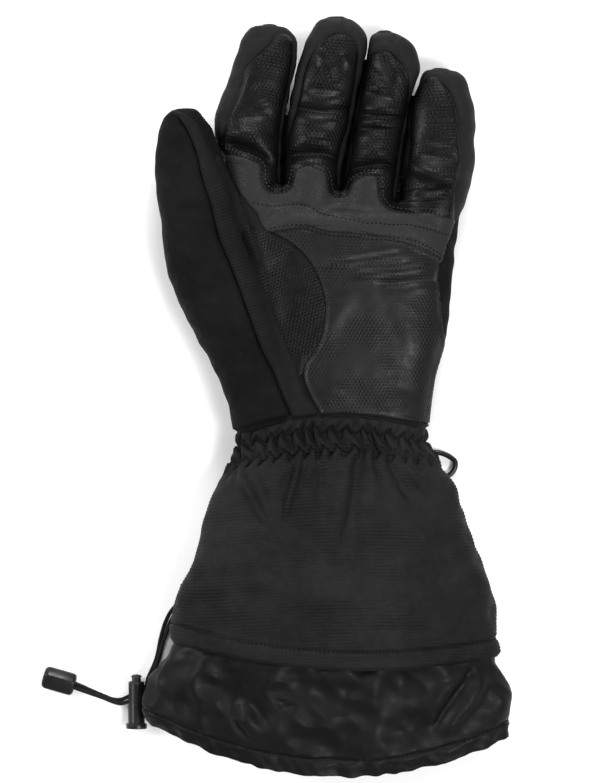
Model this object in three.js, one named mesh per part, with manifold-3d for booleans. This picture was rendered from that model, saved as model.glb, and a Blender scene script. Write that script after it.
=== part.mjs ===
// Snowmobile glove for the left hand, lying palm up on its back.
// Millimetres, +Z up from the surface it lies on, +Y towards the fingertips, thumb at -X.
// The origin is on the surface, under the middle of the glove.

import * as THREE from "three";
import { mergeVertices } from "three/addons/utils/BufferGeometryUtils.js";
import Module from "manifold-3d";

const wasm = await Module();
wasm.setup();

// Driving dimensions
const HAND_WALL = 3; // insulated shell of the hand
const CUFF_WALL = 2.4; // gauntlet fabric with its lining
const SKIRT_WALL = 1.2; // nylon skirt, doubled
const SEAM_GAP = 0.3; // between two neighbouring panels
const SQUARENESS = 2.5; // exponent of the rounded sections
const FINGER_SIDES = 14;
const FINGER_CAVITY_SIDES = 8;
const PALM_SIDES = 24;
const PALM_CAVITY_SIDES = 12;
const CUFF_SIDES = 44;
const GATHER_WAVES = 11; // folds round the elastic wrist
const SKIRT_WAVES = 8; // soft folds round the skirt
const ABOVE_ALL = 60; // higher than any piece
const BELOW_ALL = -1; // lower than any piece
const CLEAR = 8; // how far a cut runs past the piece it cuts
const WRIST_CUT = { reach: 1.2, step: 0.15, end: -60 }; // beyond the hand's edges at 1, and down past its end

// Finishes: colour, roughness and metalness of each material
const FINISHES = {
  softshell: { color: 0x17181a, roughness: 0.85, metalness: 0 },
  leather: { color: 0x2c2c2e, roughness: 0.5, metalness: 0 },
  palmLeather: { color: 0x3b3c40, roughness: 0.6, metalness: 0 },
  stretchRib: { color: 0x1c1c1e, roughness: 0.9, metalness: 0 },
  ottoman: { color: 0x161719, roughness: 0.8, metalness: 0 },
  nylon: { color: 0x1d1e20, roughness: 0.55, metalness: 0 },
  braid: { color: 0x101012, roughness: 0.8, metalness: 0 },
  plastic: { color: 0x141416, roughness: 0.4, metalness: 0 },
};

// Sections across the glove. y: place along it. left, right: edges seen from above.
// low, high: lowest and highest point. sink: how much of the round underside is flattened away.
const FINGERS = {
  index: [
    { y: 186, left: -33, right: -25.5, low: 15, high: 21, sink: 0 },
    { y: 184.5, left: -39, right: -20, low: 11, high: 25, sink: 0 },
    { y: 179, left: -43.3, right: -16, low: 8, high: 29.5, sink: 0 },
    { y: 172, left: -45.5, right: -15.5, low: 6, high: 31.5, sink: 1 },
    { y: 151, left: -53, right: -19.6, low: 2, high: 33, sink: 2 },
    { y: 139, left: -57, right: -21.4, low: 0.5, high: 33, sink: 3 },
    { y: 128, left: -56, right: -22.9, low: 0, high: 34, sink: 4 },
    { y: 116, left: -51.5, right: -23.5, low: 0, high: 35, sink: 4 },
    { y: 104, left: -49.5, right: -23.4, low: 0, high: 35, sink: 4 },
    { y: 90.5, left: -48, right: -19, low: 0, high: 34, sink: 4 },
  ],
  middle: [
    { y: 190, left: -1, right: 9, low: 14, high: 20.5, sink: 0 },
    { y: 188.5, left: -4.5, right: 13, low: 11, high: 24.5, sink: 0 },
    { y: 181, left: -9.5, right: 19.4, low: 7.5, high: 30, sink: 0 },
    { y: 175, left: -12, right: 19.5, low: 6.5, high: 31.5, sink: 1 },
    { y: 166, left: -15, right: 17.8, low: 5, high: 33, sink: 1 },
    { y: 142, left: -20, right: 12.8, low: 1, high: 34.5, sink: 3 },
    { y: 128, left: -21.8, right: 10.4, low: 0, high: 35, sink: 4 },
    { y: 113, left: -22.4, right: 8.6, low: 0, high: 36, sink: 4 },
    { y: 95.5, left: -21.5, right: 8.6, low: 0, high: 35, sink: 4 },
  ],
  ring: [
    { y: 183, left: 24.5, right: 32, low: 13, high: 19, sink: 0 },
    { y: 181.5, left: 22, right: 36, low: 10.5, high: 23, sink: 0 },
    { y: 175, left: 20.5, right: 44, low: 7, high: 28.5, sink: 0 },
    { y: 168, left: 19.3, right: 46, low: 6, high: 30, sink: 1 },
    { y: 145, left: 14.5, right: 40.5, low: 2.5, high: 32.5, sink: 2 },
    { y: 130.5, left: 11.8, right: 38.6, low: 0, high: 33.5, sink: 4 },
    { y: 115.5, left: 9.8, right: 36.5, low: 0, high: 34.5, sink: 4 },
    { y: 95.5, left: 9.2, right: 35, low: 0, high: 34, sink: 4 },
  ],
  little: [
    { y: 164.3, left: 52.5, right: 61.5, low: 13, high: 19, sink: 0 },
    { y: 163, left: 48.8, right: 65.5, low: 10, high: 22.5, sink: 0 },
    { y: 160, left: 46.6, right: 68.5, low: 8, high: 25.5, sink: 0 },
    { y: 154, left: 44.4, right: 71, low: 6, high: 28, sink: 1 },
    { y: 145, left: 41.6, right: 73.5, low: 4, high: 30, sink: 1 },
    { y: 130.5, left: 39.6, right: 74, low: 0.5, high: 31.5, sink: 3 },
    { y: 115.5, left: 37.6, right: 73.5, low: 0, high: 33, sink: 4 },
    { y: 103, left: 36.4, right: 71, low: 0, high: 33, sink: 4 },
    { y: 92, left: 36, right: 67, low: 0, high: 33, sink: 4 },
  ],
};
const PALM = [
  { y: 103, left: -49.5, right: 71, low: 0, high: 26, sink: 4 },
  { y: 97, left: -49, right: 69, low: 0, high: 33, sink: 4 },
  { y: 91, left: -48.5, right: 66.5, low: 0, high: 36.5, sink: 5 },
  { y: 73, left: -46.5, right: 64, low: 0, high: 38, sink: 5 },
  { y: 53, left: -44, right: 62, low: 0, high: 38.5, sink: 5 },
  { y: 33, left: -44, right: 60, low: 0, high: 38.5, sink: 5 },
  { y: 16, left: -45, right: 55.5, low: 0, high: 37.5, sink: 5 },
  { y: -2, left: -46, right: 51.5, low: 0, high: 36, sink: 5 },
  { y: -26, left: -46, right: 50, low: 0, high: 34, sink: 4 },
];
const THUMB = [
  { y: 143.8, left: -75, right: -69, low: 22, high: 28, sink: 0 },
  { y: 142.5, left: -79, right: -66, low: 18, high: 32, sink: 0 },
  { y: 140, left: -81.3, right: -64, low: 15, high: 35, sink: 0 },
  { y: 128, left: -85.5, right: -57, low: 11.5, high: 39.5, sink: 0 },
  { y: 118, left: -86.5, right: -51.8, low: 10, high: 41, sink: 0 },
  { y: 105.5, left: -86.3, right: -48.5, low: 9, high: 42, sink: 0 },
  { y: 90.5, left: -84, right: -44.5, low: 7, high: 42.5, sink: 0 },
  { y: 60.5, left: -80, right: -33, low: 3, high: 42.5, sink: 2 },
  { y: 45.5, left: -74, right: -27, low: 1, high: 42, sink: 3 },
  { y: 30.5, left: -66.5, right: -21, low: 0, high: 41, sink: 4 },
  { y: 15.5, left: -58.3, right: -15, low: 0, high: 39.5, sink: 4 },
  { y: 0.5, left: -51.8, right: -10, low: 0, high: 38, sink: 4 },
  { y: -26, left: -46, right: -4, low: 0, high: 34, sink: 4 },
];

// Sections round the cuffs. leftY, rightY: place of each side along the glove.
// sag: how much further down the middle hangs. ripple: height of the folds. drift: turn of the folds.
const GAUNTLET = [
  { left: -46, right: 50.2, leftY: -15.6, rightY: -13.6, sag: -7.6, low: 0, high: 35, sink: 4, ripple: 0, drift: 0 },
  { left: -46.2, right: 49.8, leftY: -19, rightY: -17, sag: -3, low: 0, high: 35, sink: 4, ripple: 1.3, drift: 0.6 },
  { left: -45.6, right: 49.4, leftY: -23, rightY: -22, sag: 0, low: 0, high: 34.5, sink: 4, ripple: 1.5, drift: 2.4 },
  { left: -46.5, right: 51.5, leftY: -28, rightY: -28, sag: 0, low: 0, high: 35, sink: 4, ripple: 1.5, drift: 4 },
  { left: -49.5, right: 55.5, leftY: -34, rightY: -34, sag: 0, low: 0, high: 36, sink: 4, ripple: 1.6, drift: 4.4 },
  { left: -56, right: 61.5, leftY: -46, rightY: -46, sag: 0, low: 0, high: 38, sink: 4, ripple: 1.3, drift: 4.6 },
  { left: -62.5, right: 68.5, leftY: -62, rightY: -62, sag: 1, low: 0, high: 40, sink: 5, ripple: 0.6, drift: 4.8 },
  { left: -74, right: 83, leftY: -100, rightY: -101, sag: 5, low: 0, high: 43.5, sink: 5, ripple: 0, drift: 5 },
  { left: -78.5, right: 86, leftY: -123.2, rightY: -130.2, sag: 9.8, low: 0, high: 44, sink: 5, ripple: 0, drift: 5 },
];
const SKIRT = [
  { left: -71.6, right: 80.4, leftY: -101, rightY: -103, sag: 5, low: 3, high: 40.4, sink: 5, ripple: 0, drift: 0 },
  { left: -74.9, right: 83.2, leftY: -121, rightY: -127, sag: 10, low: 3, high: 40.9, sink: 5, ripple: 0, drift: 0 },
  { left: -75.4, right: 83.2, leftY: -125, rightY: -132, sag: 10.5, low: 3, high: 40.9, sink: 5, ripple: 0, drift: 0 },
  { left: -84, right: 87, leftY: -136, rightY: -138, sag: 9, low: 0, high: 39, sink: 5, ripple: 1.2, drift: 0.8 },
  { left: -90, right: 90.5, leftY: -149, rightY: -149, sag: 10, low: 0, high: 37, sink: 5, ripple: 1.6, drift: 1.7 },
  { left: -92.3, right: 92, leftY: -158, rightY: -160, sag: 17, low: 0, high: 34, sink: 5, ripple: 1.2, drift: 2.6 },
  { left: -91, right: 91, leftY: -163.5, rightY: -171.5, sag: 23, low: 0, high: 30, sink: 5, ripple: 1.6, drift: 3.2 },
];

// Seams seen from above, each a short row of x, y points
const PANELS = {
  palm_patch: {
    from: 24,
    finish: "palmLeather",
    outline: [
      [-52.8, 121],
      [-40.5, 118.5],
      [-34, 115],
      [-33.5, 109],
      [-30.5, 102.8],
      [-25, 101],
      [-19.5, 103],
      [-15.3, 113.5],
      [-9.5, 115],
      [-1.5, 112],
      [0.8, 101.5],
      [4.5, 99],
      [9.5, 100.5],
      [12.2, 106],
      [16, 109],
      [24.3, 109.5],
      [25.5, 99.5],
      [29.5, 93.2],
      [40, 91.3],
      [52.5, 91.3],
      [62.6, 88.2],
      [60.4, 80.6],
      [56, 67],
      [52, 69.5],
      [43, 73.5],
      [27.8, 76.4],
      [1, 79],
      [-7.5, 80.5],
      [-17, 82.5],
      [-24, 81.8],
      [-30, 82.2],
      [-33.2, 86.5],
      [-35, 91],
      [-38.5, 95.2],
      [-43.8, 102.5],
      [-46.5, 107],
    ],
  },
  index_front: {
    from: 20,
    finish: "leather",
    outline: [
      [-29.5, 175.7],
      [-25.8, 180.2],
      [-19.5, 179.5],
      [-20, 165],
      [-22, 153.5],
      [-25, 144],
      [-25.8, 134],
      [-26.2, 104],
      [-29, 100],
      [-36, 108],
      [-44, 114],
      [-53, 119.5],
      [-52, 126],
      [-50.3, 136.8],
      [-45.5, 148.3],
      [-41, 162.3],
      [-36.5, 168.7],
    ],
  },
  middle_front: {
    from: 20,
    finish: "leather",
    outline: [
      [0.5, 179.5],
      [6, 181],
      [11.3, 179],
      [13, 173],
      [12, 159.8],
      [9.4, 142],
      [8, 134],
      [5, 126.5],
      [3.5, 118],
      [4.5, 104],
      [0, 99],
      [-10, 110],
      [-18, 104],
      [-19.8, 107],
      [-20, 124.5],
      [-17, 134],
      [-14.3, 142],
      [-11, 159.8],
      [-8, 169.5],
      [-4, 175.7],
    ],
  },
  ring_front: {
    from: 20,
    finish: "leather",
    outline: [
      [21.5, 170.2],
      [25.8, 172.2],
      [28.8, 173.2],
      [34, 169],
      [37.5, 164],
      [40, 158],
      [40, 153.5],
      [38.5, 142],
      [36, 132.5],
      [34, 121.5],
      [32.3, 112],
      [29.5, 100],
      [26, 92],
      [15, 100],
      [12, 108],
      [12.4, 114],
      [13.5, 121.5],
      [14.5, 132],
      [16.5, 143.5],
      [18.3, 153.5],
      [19.8, 164],
    ],
  },
  little_front: {
    from: 19,
    finish: "leather",
    outline: [
      [52.7, 159.5],
      [56, 157.7],
      [59.5, 153.5],
      [62.5, 148],
      [63.9, 141.5],
      [65.3, 127],
      [66.3, 118.5],
      [65, 111.5],
      [63.2, 105],
      [62.8, 96],
      [62.5, 86],
      [36, 88],
      [36.8, 98],
      [39.3, 104.5],
      [40.8, 111.5],
      [42, 118.5],
      [43.2, 126],
      [42.9, 136],
      [43.2, 145],
      [45, 152],
      [48.5, 157],
    ],
  },
  thumb_strip: {
    from: 24,
    finish: "stretchRib",
    outline: [
      [-79, 140.5],
      [-71.7, 134.8],
      [-66.5, 124],
      [-63, 110.3],
      [-58, 94.5],
      [-53.3, 76.5],
      [-43.8, 53],
      [-32.2, 21.5],
      [-24.8, 5.5],
      [-19.5, -7],
      [-15, -9],
      [-4.5, -7],
      [-12, 1.5],
      [-14.6, 11.5],
      [-20.5, 27],
      [-28, 47],
      [-36.5, 65.5],
      [-40.5, 74],
      [-45, 87],
      [-46.7, 93],
      [-50.8, 107],
      [-56.5, 119.5],
      [-60.5, 127.5],
      [-64.5, 135.3],
      [-71.5, 141.5],
      [-76.5, 143],
    ],
  },
  thumb_web: {
    from: 10,
    finish: "stretchRib",
    outline: [
      [-54, 122],
      [-50, 113],
      [-43.8, 100],
      [-35, 89],
      [-29, 81],
      [-33, 79.5],
      [-40.5, 73],
      [-48, 78],
      [-52, 100],
      [-56, 118],
    ],
  },
  thumb_gusset: {
    from: 24,
    finish: "leather",
    outline: [
      [-32.6, 79.7],
      [-20.5, 77.2],
      [-11, 68.8],
      [-4.8, 58.3],
      [-1.7, 45.7],
      [-2.2, 35.1],
      [-7, 22.5],
      [-14, 12.5],
      [-22, 22],
      [-30, 40],
      [-39, 64],
      [-41, 74],
    ],
  },
  palm_lower: {
    from: 22,
    finish: "leather",
    outline: [
      [-33, 84],
      [-10, 86],
      [30, 80],
      [56, 72],
      [55.2, 64.2],
      [55.7, 49.5],
      [57, 35.5],
      [58, 26.5],
      [56, 19],
      [53.8, 11.5],
      [51.5, -1.5],
      [50.5, -20],
      [-20, -20],
      [-20, 0],
      [-16, 14],
      [-8, 26],
      [-4, 40],
      [-8, 62],
      [-18, 74],
      [-28, 79],
    ],
  },
};

// Slots between the fingers, from the tips down to the palm
const SLOTS = {
  index_middle: [
    [-13, 192],
    [-13.8, 176],
    [-16, 165],
    [-18.9, 152],
    [-20.9, 140],
    [-22.6, 126],
    [-22.9, 98],
  ],
  middle_ring: [
    [20.2, 192],
    [20, 177],
    [18.5, 167],
    [16.4, 155],
    [13.8, 144],
    [11, 130],
    [9.2, 114],
    [8.9, 98],
  ],
  ring_little: [
    [48, 192],
    [47, 170],
    [45.2, 160],
    [42.6, 150],
    [41, 145],
    [39.1, 130.5],
    [37, 115.5],
    [35.6, 98],
  ],
};
const FOURCHETTE = { halfWidth: 6, from: 12, bottom: 97.5, backOfTip: 14 };
const CROTCH_Y = 104; // finger backs are sewn to the hand here
const THUMB_SPLIT = [
  [-58.5, 190],
  [-57, 132],
  [-51.5, 118],
  [-49.5, 104],
  [-47, 88],
  [-45.5, 70],
  [-45, 40],
  [-47, 10],
  [-48, -40],
];

// Draw cord, from the tab at the gauntlet's left edge through the lock to the moulded end.
// Each row is x, y, z of the pair's middle line.
const CORD = { diameter: 2.2, sides: 8, apart: 2.6, steps: 22 };
const CORD_ROUTE = [
  [-71.4, -105.2, 4.2],
  [-72.9, -107.8, 3.9],
  [-76.1, -112.2, 2.7],
  [-79.4, -117, 1.6],
  [-81.6, -122, 1.3],
  [-83.4, -127.5, 1.3],
  [-85.8, -133, 1.5],
  [-88.4, -138, 2.6],
  [-89.7, -142.6, 4],
  [-90.5, -147.1, 4.9],
  [-92.6, -149.8, 5.3],
  [-95.4, -150.4, 5.3],
  [-98.2, -151.9, 5.3],
  [-101.4, -152.9, 5],
  [-105.6, -152.3, 2.8],
  [-110.5, -150.6, 1.4],
  [-117, -148.4, 1.3],
  [-122.5, -146.6, 1.8],
  [-126, -145.4, 2.9],
];
const LOCK = {
  x: -96.6,
  z: 5.3,
  top: -144.2, // where the housing ends and the plunger stands out
  bottom: -168,
  radius: 4.5,
  bore: 3.5,
  flangeRadius: 5.3,
  flangeLength: 2.4,
  slotTop: -144.9,
  slotBottom: -156.2,
  slotHeight: 3.8,
  waist: 0.3, // how much the housing narrows above its flange
  shoulder: 0.6, // height of the slope from the flange to the waist
  chamfer: 0.8,
  sides: 16,
};
const PLUNGER = { radius: 3.1, top: -140.7, bottom: -162, dome: 1.2, pressed: 3, play: 1, sides: 12 };
const CORD_END = { x: -134.6, y: -142.6, turn: 164, length: 16.4, width: 11, height: 7, low: 0.05, taper: 1.3, edge: 0.8 };
const CORD_TAB = { x: -70.9, y: -99.5, width: 7, length: 9, thickness: 4, low: 2.3 };

// Plastic clip ring on a webbing loop at the wrist's outer side
const CLIP = { bar: 2.4, sides: 8, z: 2.65, steps: 16 };
const CLIP_CORNERS = [
  [52.5, -26.5],
  [57, -27],
  [65, -33.4],
  [59.5, -41],
  [56.5, -40],
];
const CLIP_LOOP = { x: 54.3, y: -32.6, turn: 16.5, width: 7, hole: 1.55, webbing: 0.85 };

/** Moves every value of a section row a share of the way to another row's. */
function between(a, b, share) {
  const row = {};
  for (const key of Object.keys(a)) row[key] = a[key] + (b[key] - a[key]) * share;
  return row;
}

/** The section that a table gives at one place along the glove. */
function sectionAt(rows, y) {
  const next = rows.findIndex((row) => row.y <= y);
  const b = rows[next];
  const a = rows[next - 1] ?? b;
  return a === b ? { ...b } : between(a, b, (a.y - y) / (a.y - b.y));
}

/** How far along the glove a cuff's row lies, from its left side at -1 to its right side at 1. */
function hang(row, across) {
  return row.leftY + ((row.rightY - row.leftY) * (across + 1)) / 2 - row.sag * (1 - across * across);
}

/** One rounded ring of a section, flattened underneath, inset from its outline. */
function ring(row, sides, inset = 0) {
  const halfWidth = (row.right - row.left) / 2 - inset;
  const low = row.low - row.sink;
  const halfHeight = (row.high - low) / 2 - inset;
  const points = [];
  for (let i = 0; i < sides; i += 1) {
    const turn = (2 * Math.PI * i) / sides;
    const across = Math.sign(Math.cos(turn)) * Math.abs(Math.cos(turn)) ** (2 / SQUARENESS);
    const up = Math.sign(Math.sin(turn)) * Math.abs(Math.sin(turn)) ** (2 / SQUARENESS);
    const swell = (row.ripple ?? 0) * Math.cos(turn * (row.waves ?? 0) + (row.drift ?? 0));
    const x = (row.left + row.right) / 2 + (halfWidth + swell) * across;
    const z = (row.high + low) / 2 + (halfHeight + swell) * up;
    const y = row.y ?? hang(row, across);
    points.push([x, y, Math.max(z, row.low + inset)]);
  }
  return points;
}

/** A closed geometry from points and faces, turned so that its faces point out. */
function closedGeometry(points, faces) {
  const geometry = new THREE.BufferGeometry();
  geometry.setAttribute("position", new THREE.Float32BufferAttribute(points.flat(), 3));
  const [a, b, c] = [new THREE.Vector3(), new THREE.Vector3(), new THREE.Vector3()];
  let volume = 0;
  for (const face of faces) {
    a.fromArray(points[face[0]]);
    b.fromArray(points[face[1]]);
    c.fromArray(points[face[2]]);
    volume += a.dot(b.cross(c));
  }
  geometry.setIndex((volume < 0 ? faces.map((face) => [...face].reverse()) : faces).flat());
  return geometry;
}

/** Faces between two rings of the same number of points. */
function bandFaces(first, second, sides) {
  const faces = [];
  for (let i = 0; i < sides; i += 1) {
    const j = (i + 1) % sides;
    faces.push([first + i, first + j, second + j], [first + i, second + j, second + i]);
  }
  return faces;
}

/** A loft through rings, closed at both ends. */
function loft(rings) {
  const sides = rings[0].length;
  const points = rings.flat();
  const faces = [];
  for (let k = 0; k + 1 < rings.length; k += 1) faces.push(...bandFaces(k * sides, (k + 1) * sides, sides));
  const last = (rings.length - 1) * sides;
  for (let i = 1; i + 1 < sides; i += 1) faces.push([0, i + 1, i], [last, last + i, last + i + 1]);
  return closedGeometry(points, faces);
}

/** A wall between an outer and an inner set of rings, open at both ends. */
function sleeve(outer, inner) {
  const sides = outer[0].length;
  const loop = [...outer, ...[...inner].reverse()];
  const faces = [];
  for (let k = 0; k < loop.length; k += 1) {
    faces.push(...bandFaces(k * sides, ((k + 1) % loop.length) * sides, sides));
  }
  return closedGeometry(loop.flat(), faces);
}

/** A three.js geometry as a manifold solid. */
function solid(geometry) {
  const bare = geometry.clone();
  bare.deleteAttribute("normal");
  bare.deleteAttribute("uv");
  const merged = mergeVertices(bare, 1e-4);
  return new wasm.Manifold(
    new wasm.Mesh({
      numProp: 3,
      vertProperties: new Float32Array(merged.attributes.position.array),
      triVerts: new Uint32Array(merged.index.array),
    }),
  );
}

/** A manifold solid as a three.js geometry. */
function geometryOf(body) {
  const mesh = body.getMesh();
  const count = mesh.vertProperties.length / mesh.numProp;
  const position = new Float32Array(count * 3);
  for (let i = 0; i < count; i += 1) {
    for (let k = 0; k < 3; k += 1) position[i * 3 + k] = mesh.vertProperties[i * mesh.numProp + k];
  }
  const geometry = new THREE.BufferGeometry();
  geometry.setAttribute("position", new THREE.BufferAttribute(position, 3));
  geometry.setIndex(Array.from(mesh.triVerts));
  return geometry;
}

/** An upright prism over an outline seen from above. */
function prism(outline, from, to) {
  const shape = new THREE.Shape(outline.map(([x, y]) => new THREE.Vector2(x, y)));
  const geometry = new THREE.ExtrudeGeometry(shape, { depth: to - from, bevelEnabled: false, steps: 1 });
  return solid(geometry.translate(0, 0, from));
}

/** An outline pushed out by a distance along its own normals. */
function grown(outline, by) {
  const points = outline.map(([x, y]) => new THREE.Vector2(x, y));
  const outward = THREE.ShapeUtils.area(points) > 0 ? 1 : -1;
  return points.map((point, i) => {
    const before = point.clone().sub(points[(i + points.length - 1) % points.length]).normalize();
    const after = points[(i + 1) % points.length].clone().sub(point).normalize();
    const normal = new THREE.Vector2(before.y + after.y, -before.x - after.x).normalize();
    const stretch = Math.max(0.5, normal.x * after.y - normal.y * after.x);
    return [point.x + (outward * normal.x * by) / stretch, point.y + (outward * normal.y * by) / stretch];
  });
}

/** The biggest connected body of a geometry: cutting a seam can leave crumbs behind. */
function biggestBody(geometry) {
  const index = Array.from(geometry.index.array);
  const parent = Array.from({ length: geometry.attributes.position.count }, (_, i) => i);
  const root = (i) => {
    let at = i;
    while (parent[at] !== at) at = parent[at];
    return at;
  };
  for (let i = 0; i < index.length; i += 3) {
    parent[root(index[i + 1])] = root(index[i]);
    parent[root(index[i + 2])] = root(index[i]);
  }
  const extents = new Map();
  for (const i of index) extents.set(root(i), (extents.get(root(i)) ?? 0) + 1);
  const [biggest] = [...extents].sort((a, b) => b[1] - a[1])[0];
  const kept = [];
  for (let i = 0; i < index.length; i += 3) {
    if (root(index[i]) === biggest) kept.push(...index.slice(i, i + 3));
  }
  geometry.setIndex(kept);
  return geometry;
}

const glove = new THREE.Group();

/** Adds one named piece to the glove. */
function addPiece(name, geometry, finish) {
  const mesh = new THREE.Mesh(geometry, new THREE.MeshStandardMaterial(FINISHES[finish]));
  mesh.name = name;
  glove.add(mesh);
}

/** The outside of one form of the hand. */
function outerForm(rows, sides) {
  return solid(loft(rows.map((row) => ring(row, sides))));
}

/** The room inside a form, starting one wall behind its closed end. */
function roomInside(rows, sides) {
  const start = rows[0].y - HAND_WALL;
  const inner = [sectionAt(rows, start), ...rows.filter((row) => row.y < start - 1)];
  return solid(loft(inner.map((row) => ring(row, sides, HAND_WALL))));
}

/** Everything below the seam that joins the hand to the gauntlet. */
function belowWrist() {
  const seam = GAUNTLET[0];
  const line = [];
  const steps = Math.round((2 * WRIST_CUT.reach) / WRIST_CUT.step);
  for (let i = 0; i <= steps; i += 1) {
    const across = i * WRIST_CUT.step - WRIST_CUT.reach;
    const x = (seam.left + seam.right) / 2 + ((seam.right - seam.left) / 2) * across;
    line.push([x, hang(seam, across) + SEAM_GAP]);
  }
  return [...line, [line[line.length - 1][0], WRIST_CUT.end], [line[0][0], WRIST_CUT.end]];
}

/** Palm, thumb and fingers joined, less the room inside them, cut off at the wrist's seam. */
function handShell() {
  let outer = outerForm(PALM, PALM_SIDES).add(outerForm(THUMB, FINGER_SIDES));
  let room = roomInside(PALM, PALM_CAVITY_SIDES).add(roomInside(THUMB, FINGER_CAVITY_SIDES));
  for (const rows of Object.values(FINGERS)) {
    outer = outer.add(outerForm(rows, FINGER_SIDES));
    room = room.add(roomInside(rows, FINGER_CAVITY_SIDES));
  }
  return outer.subtract(room).subtract(prism(belowWrist(), BELOW_ALL, ABOVE_ALL));
}

let shell = handShell();

/** Cuts one panel out of what is left of the shell, with a seam gap round it. */
function takePanel(name, outline, from, to, finish) {
  const panel = shell.intersect(prism(outline, from, to));
  shell = shell.subtract(prism(grown(outline, SEAM_GAP), from - SEAM_GAP, to + SEAM_GAP));
  addPiece(name, biggestBody(geometryOf(panel)), finish);
}

for (const [name, panel] of Object.entries(PANELS)) {
  takePanel(name, panel.outline, panel.from, ABOVE_ALL, panel.finish);
}

/** A band of even width along a slot, between two places along the glove. */
function slotBand(slot, halfWidth, bottom, top) {
  const inside = slot.filter(([, y]) => y > bottom && y < top);
  const ends = [top, bottom].map((y) => {
    const next = slot.findIndex((point) => point[1] <= y);
    const [a, b] = [slot[Math.max(next - 1, 0)], slot[next === -1 ? slot.length - 1 : next]];
    const share = a[1] === b[1] ? 0 : (a[1] - y) / (a[1] - b[1]);
    return [a[0] + (b[0] - a[0]) * share, y];
  });
  const line = [ends[0], ...inside, ends[1]];
  const right = line.map(([x, y]) => [x + halfWidth, y]);
  const left = line.map(([x, y]) => [x - halfWidth, y]).reverse();
  return [...right, ...left];
}

const NEIGHBOURS = {
  index_middle: ["index", "middle"],
  middle_ring: ["middle", "ring"],
  ring_little: ["ring", "little"],
};
for (const [pair, slot] of Object.entries(SLOTS)) {
  const tip = Math.min(...NEIGHBOURS[pair].map((finger) => FINGERS[finger][0].y));
  const band = slotBand(slot, FOURCHETTE.halfWidth, FOURCHETTE.bottom, tip - FOURCHETTE.backOfTip);
  takePanel(`fourchette_${pair}`, band, FOURCHETTE.from, ABOVE_ALL, "softshell");
}

const thumbSide = [...THUMB_SPLIT, [-110, -40], [-110, 190]];
takePanel("thumb_back", thumbSide, BELOW_ALL, ABOVE_ALL, "softshell");

const BACK_OUTLINES = {
  index: [[-70, 192], ...SLOTS.index_middle.slice(0, -1), [-22.9, CROTCH_Y], [-70, CROTCH_Y]],
  middle: [...SLOTS.index_middle.slice(0, -1), [-22.9, CROTCH_Y], [9.2, CROTCH_Y], ...SLOTS.middle_ring.slice(0, -1).reverse()],
  ring: [...SLOTS.middle_ring.slice(0, -1), [9.2, CROTCH_Y], [36.2, CROTCH_Y], ...SLOTS.ring_little.slice(0, -1).reverse()],
  little: [...SLOTS.ring_little.slice(0, -1), [36.2, CROTCH_Y], [90, CROTCH_Y], [90, 192]],
};
for (const [finger, outline] of Object.entries(BACK_OUTLINES)) {
  takePanel(`${finger}_back`, outline, BELOW_ALL, ABOVE_ALL, "softshell");
}
addPiece("hand_back", biggestBody(geometryOf(shell)), "softshell");

/** A gathered or flared cuff, open at both ends. */
function cuff(rows, waves, wall) {
  const folded = rows.map((row) => ({ ...row, waves }));
  return sleeve(
    folded.map((row) => ring(row, CUFF_SIDES)),
    folded.map((row) => ring(row, CUFF_SIDES, wall)),
  );
}

addPiece("gauntlet", cuff(GAUNTLET, GATHER_WAVES, CUFF_WALL), "ottoman");
addPiece("snow_skirt", cuff(SKIRT, SKIRT_WAVES, SKIRT_WALL), "nylon");

/** A regular polygon about the origin. */
function polygon(radius, sides) {
  const corners = [];
  for (let i = 0; i < sides; i += 1) {
    const turn = (2 * Math.PI * i) / sides;
    corners.push(new THREE.Vector2(Math.cos(turn) * radius, Math.sin(turn) * radius));
  }
  return new THREE.Shape(corners);
}

/** A square about the origin, from half its side. */
function squareShape(half) {
  const corners = [[-half, -half], [half, -half], [half, half], [-half, half]];
  return new THREE.Shape(corners.map(([x, y]) => new THREE.Vector2(x, y)));
}

/** One of the draw cord's two strands, on the side of the middle line that is asked for. */
function cordTube(side) {
  const middle = new THREE.CatmullRomCurve3(CORD_ROUTE.map((point) => new THREE.Vector3(...point)));
  const shifted = CORD_ROUTE.map((point, i) => {
    const along = middle.getTangent(i / (CORD_ROUTE.length - 1));
    const across = new THREE.Vector3(-along.y, along.x, 0).normalize();
    return new THREE.Vector3(...point).addScaledVector(across, (side * CORD.apart) / 2);
  });
  const section = polygon(CORD.diameter / 2, CORD.sides);
  return new THREE.ExtrudeGeometry(section, { steps: CORD.steps, extrudePath: new THREE.CatmullRomCurve3(shifted) });
}

addPiece("draw_cord_a", cordTube(1), "braid");
addPiece("draw_cord_b", cordTube(-1), "braid");

/** A solid of revolution about a line along Y, from radius and place pairs. */
function turned(profile, sides, x, z) {
  const geometry = new THREE.LatheGeometry(profile.map(([r, y]) => new THREE.Vector2(r, y)), sides);
  return solid(geometry.translate(x, 0, z));
}

/** A box from its lowest to its highest corner. */
function block(low, high) {
  const size = high.map((value, i) => value - low[i]);
  const geometry = new THREE.BoxGeometry(...size);
  return solid(geometry.translate(...low.map((value, i) => value + size[i] / 2)));
}

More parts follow.
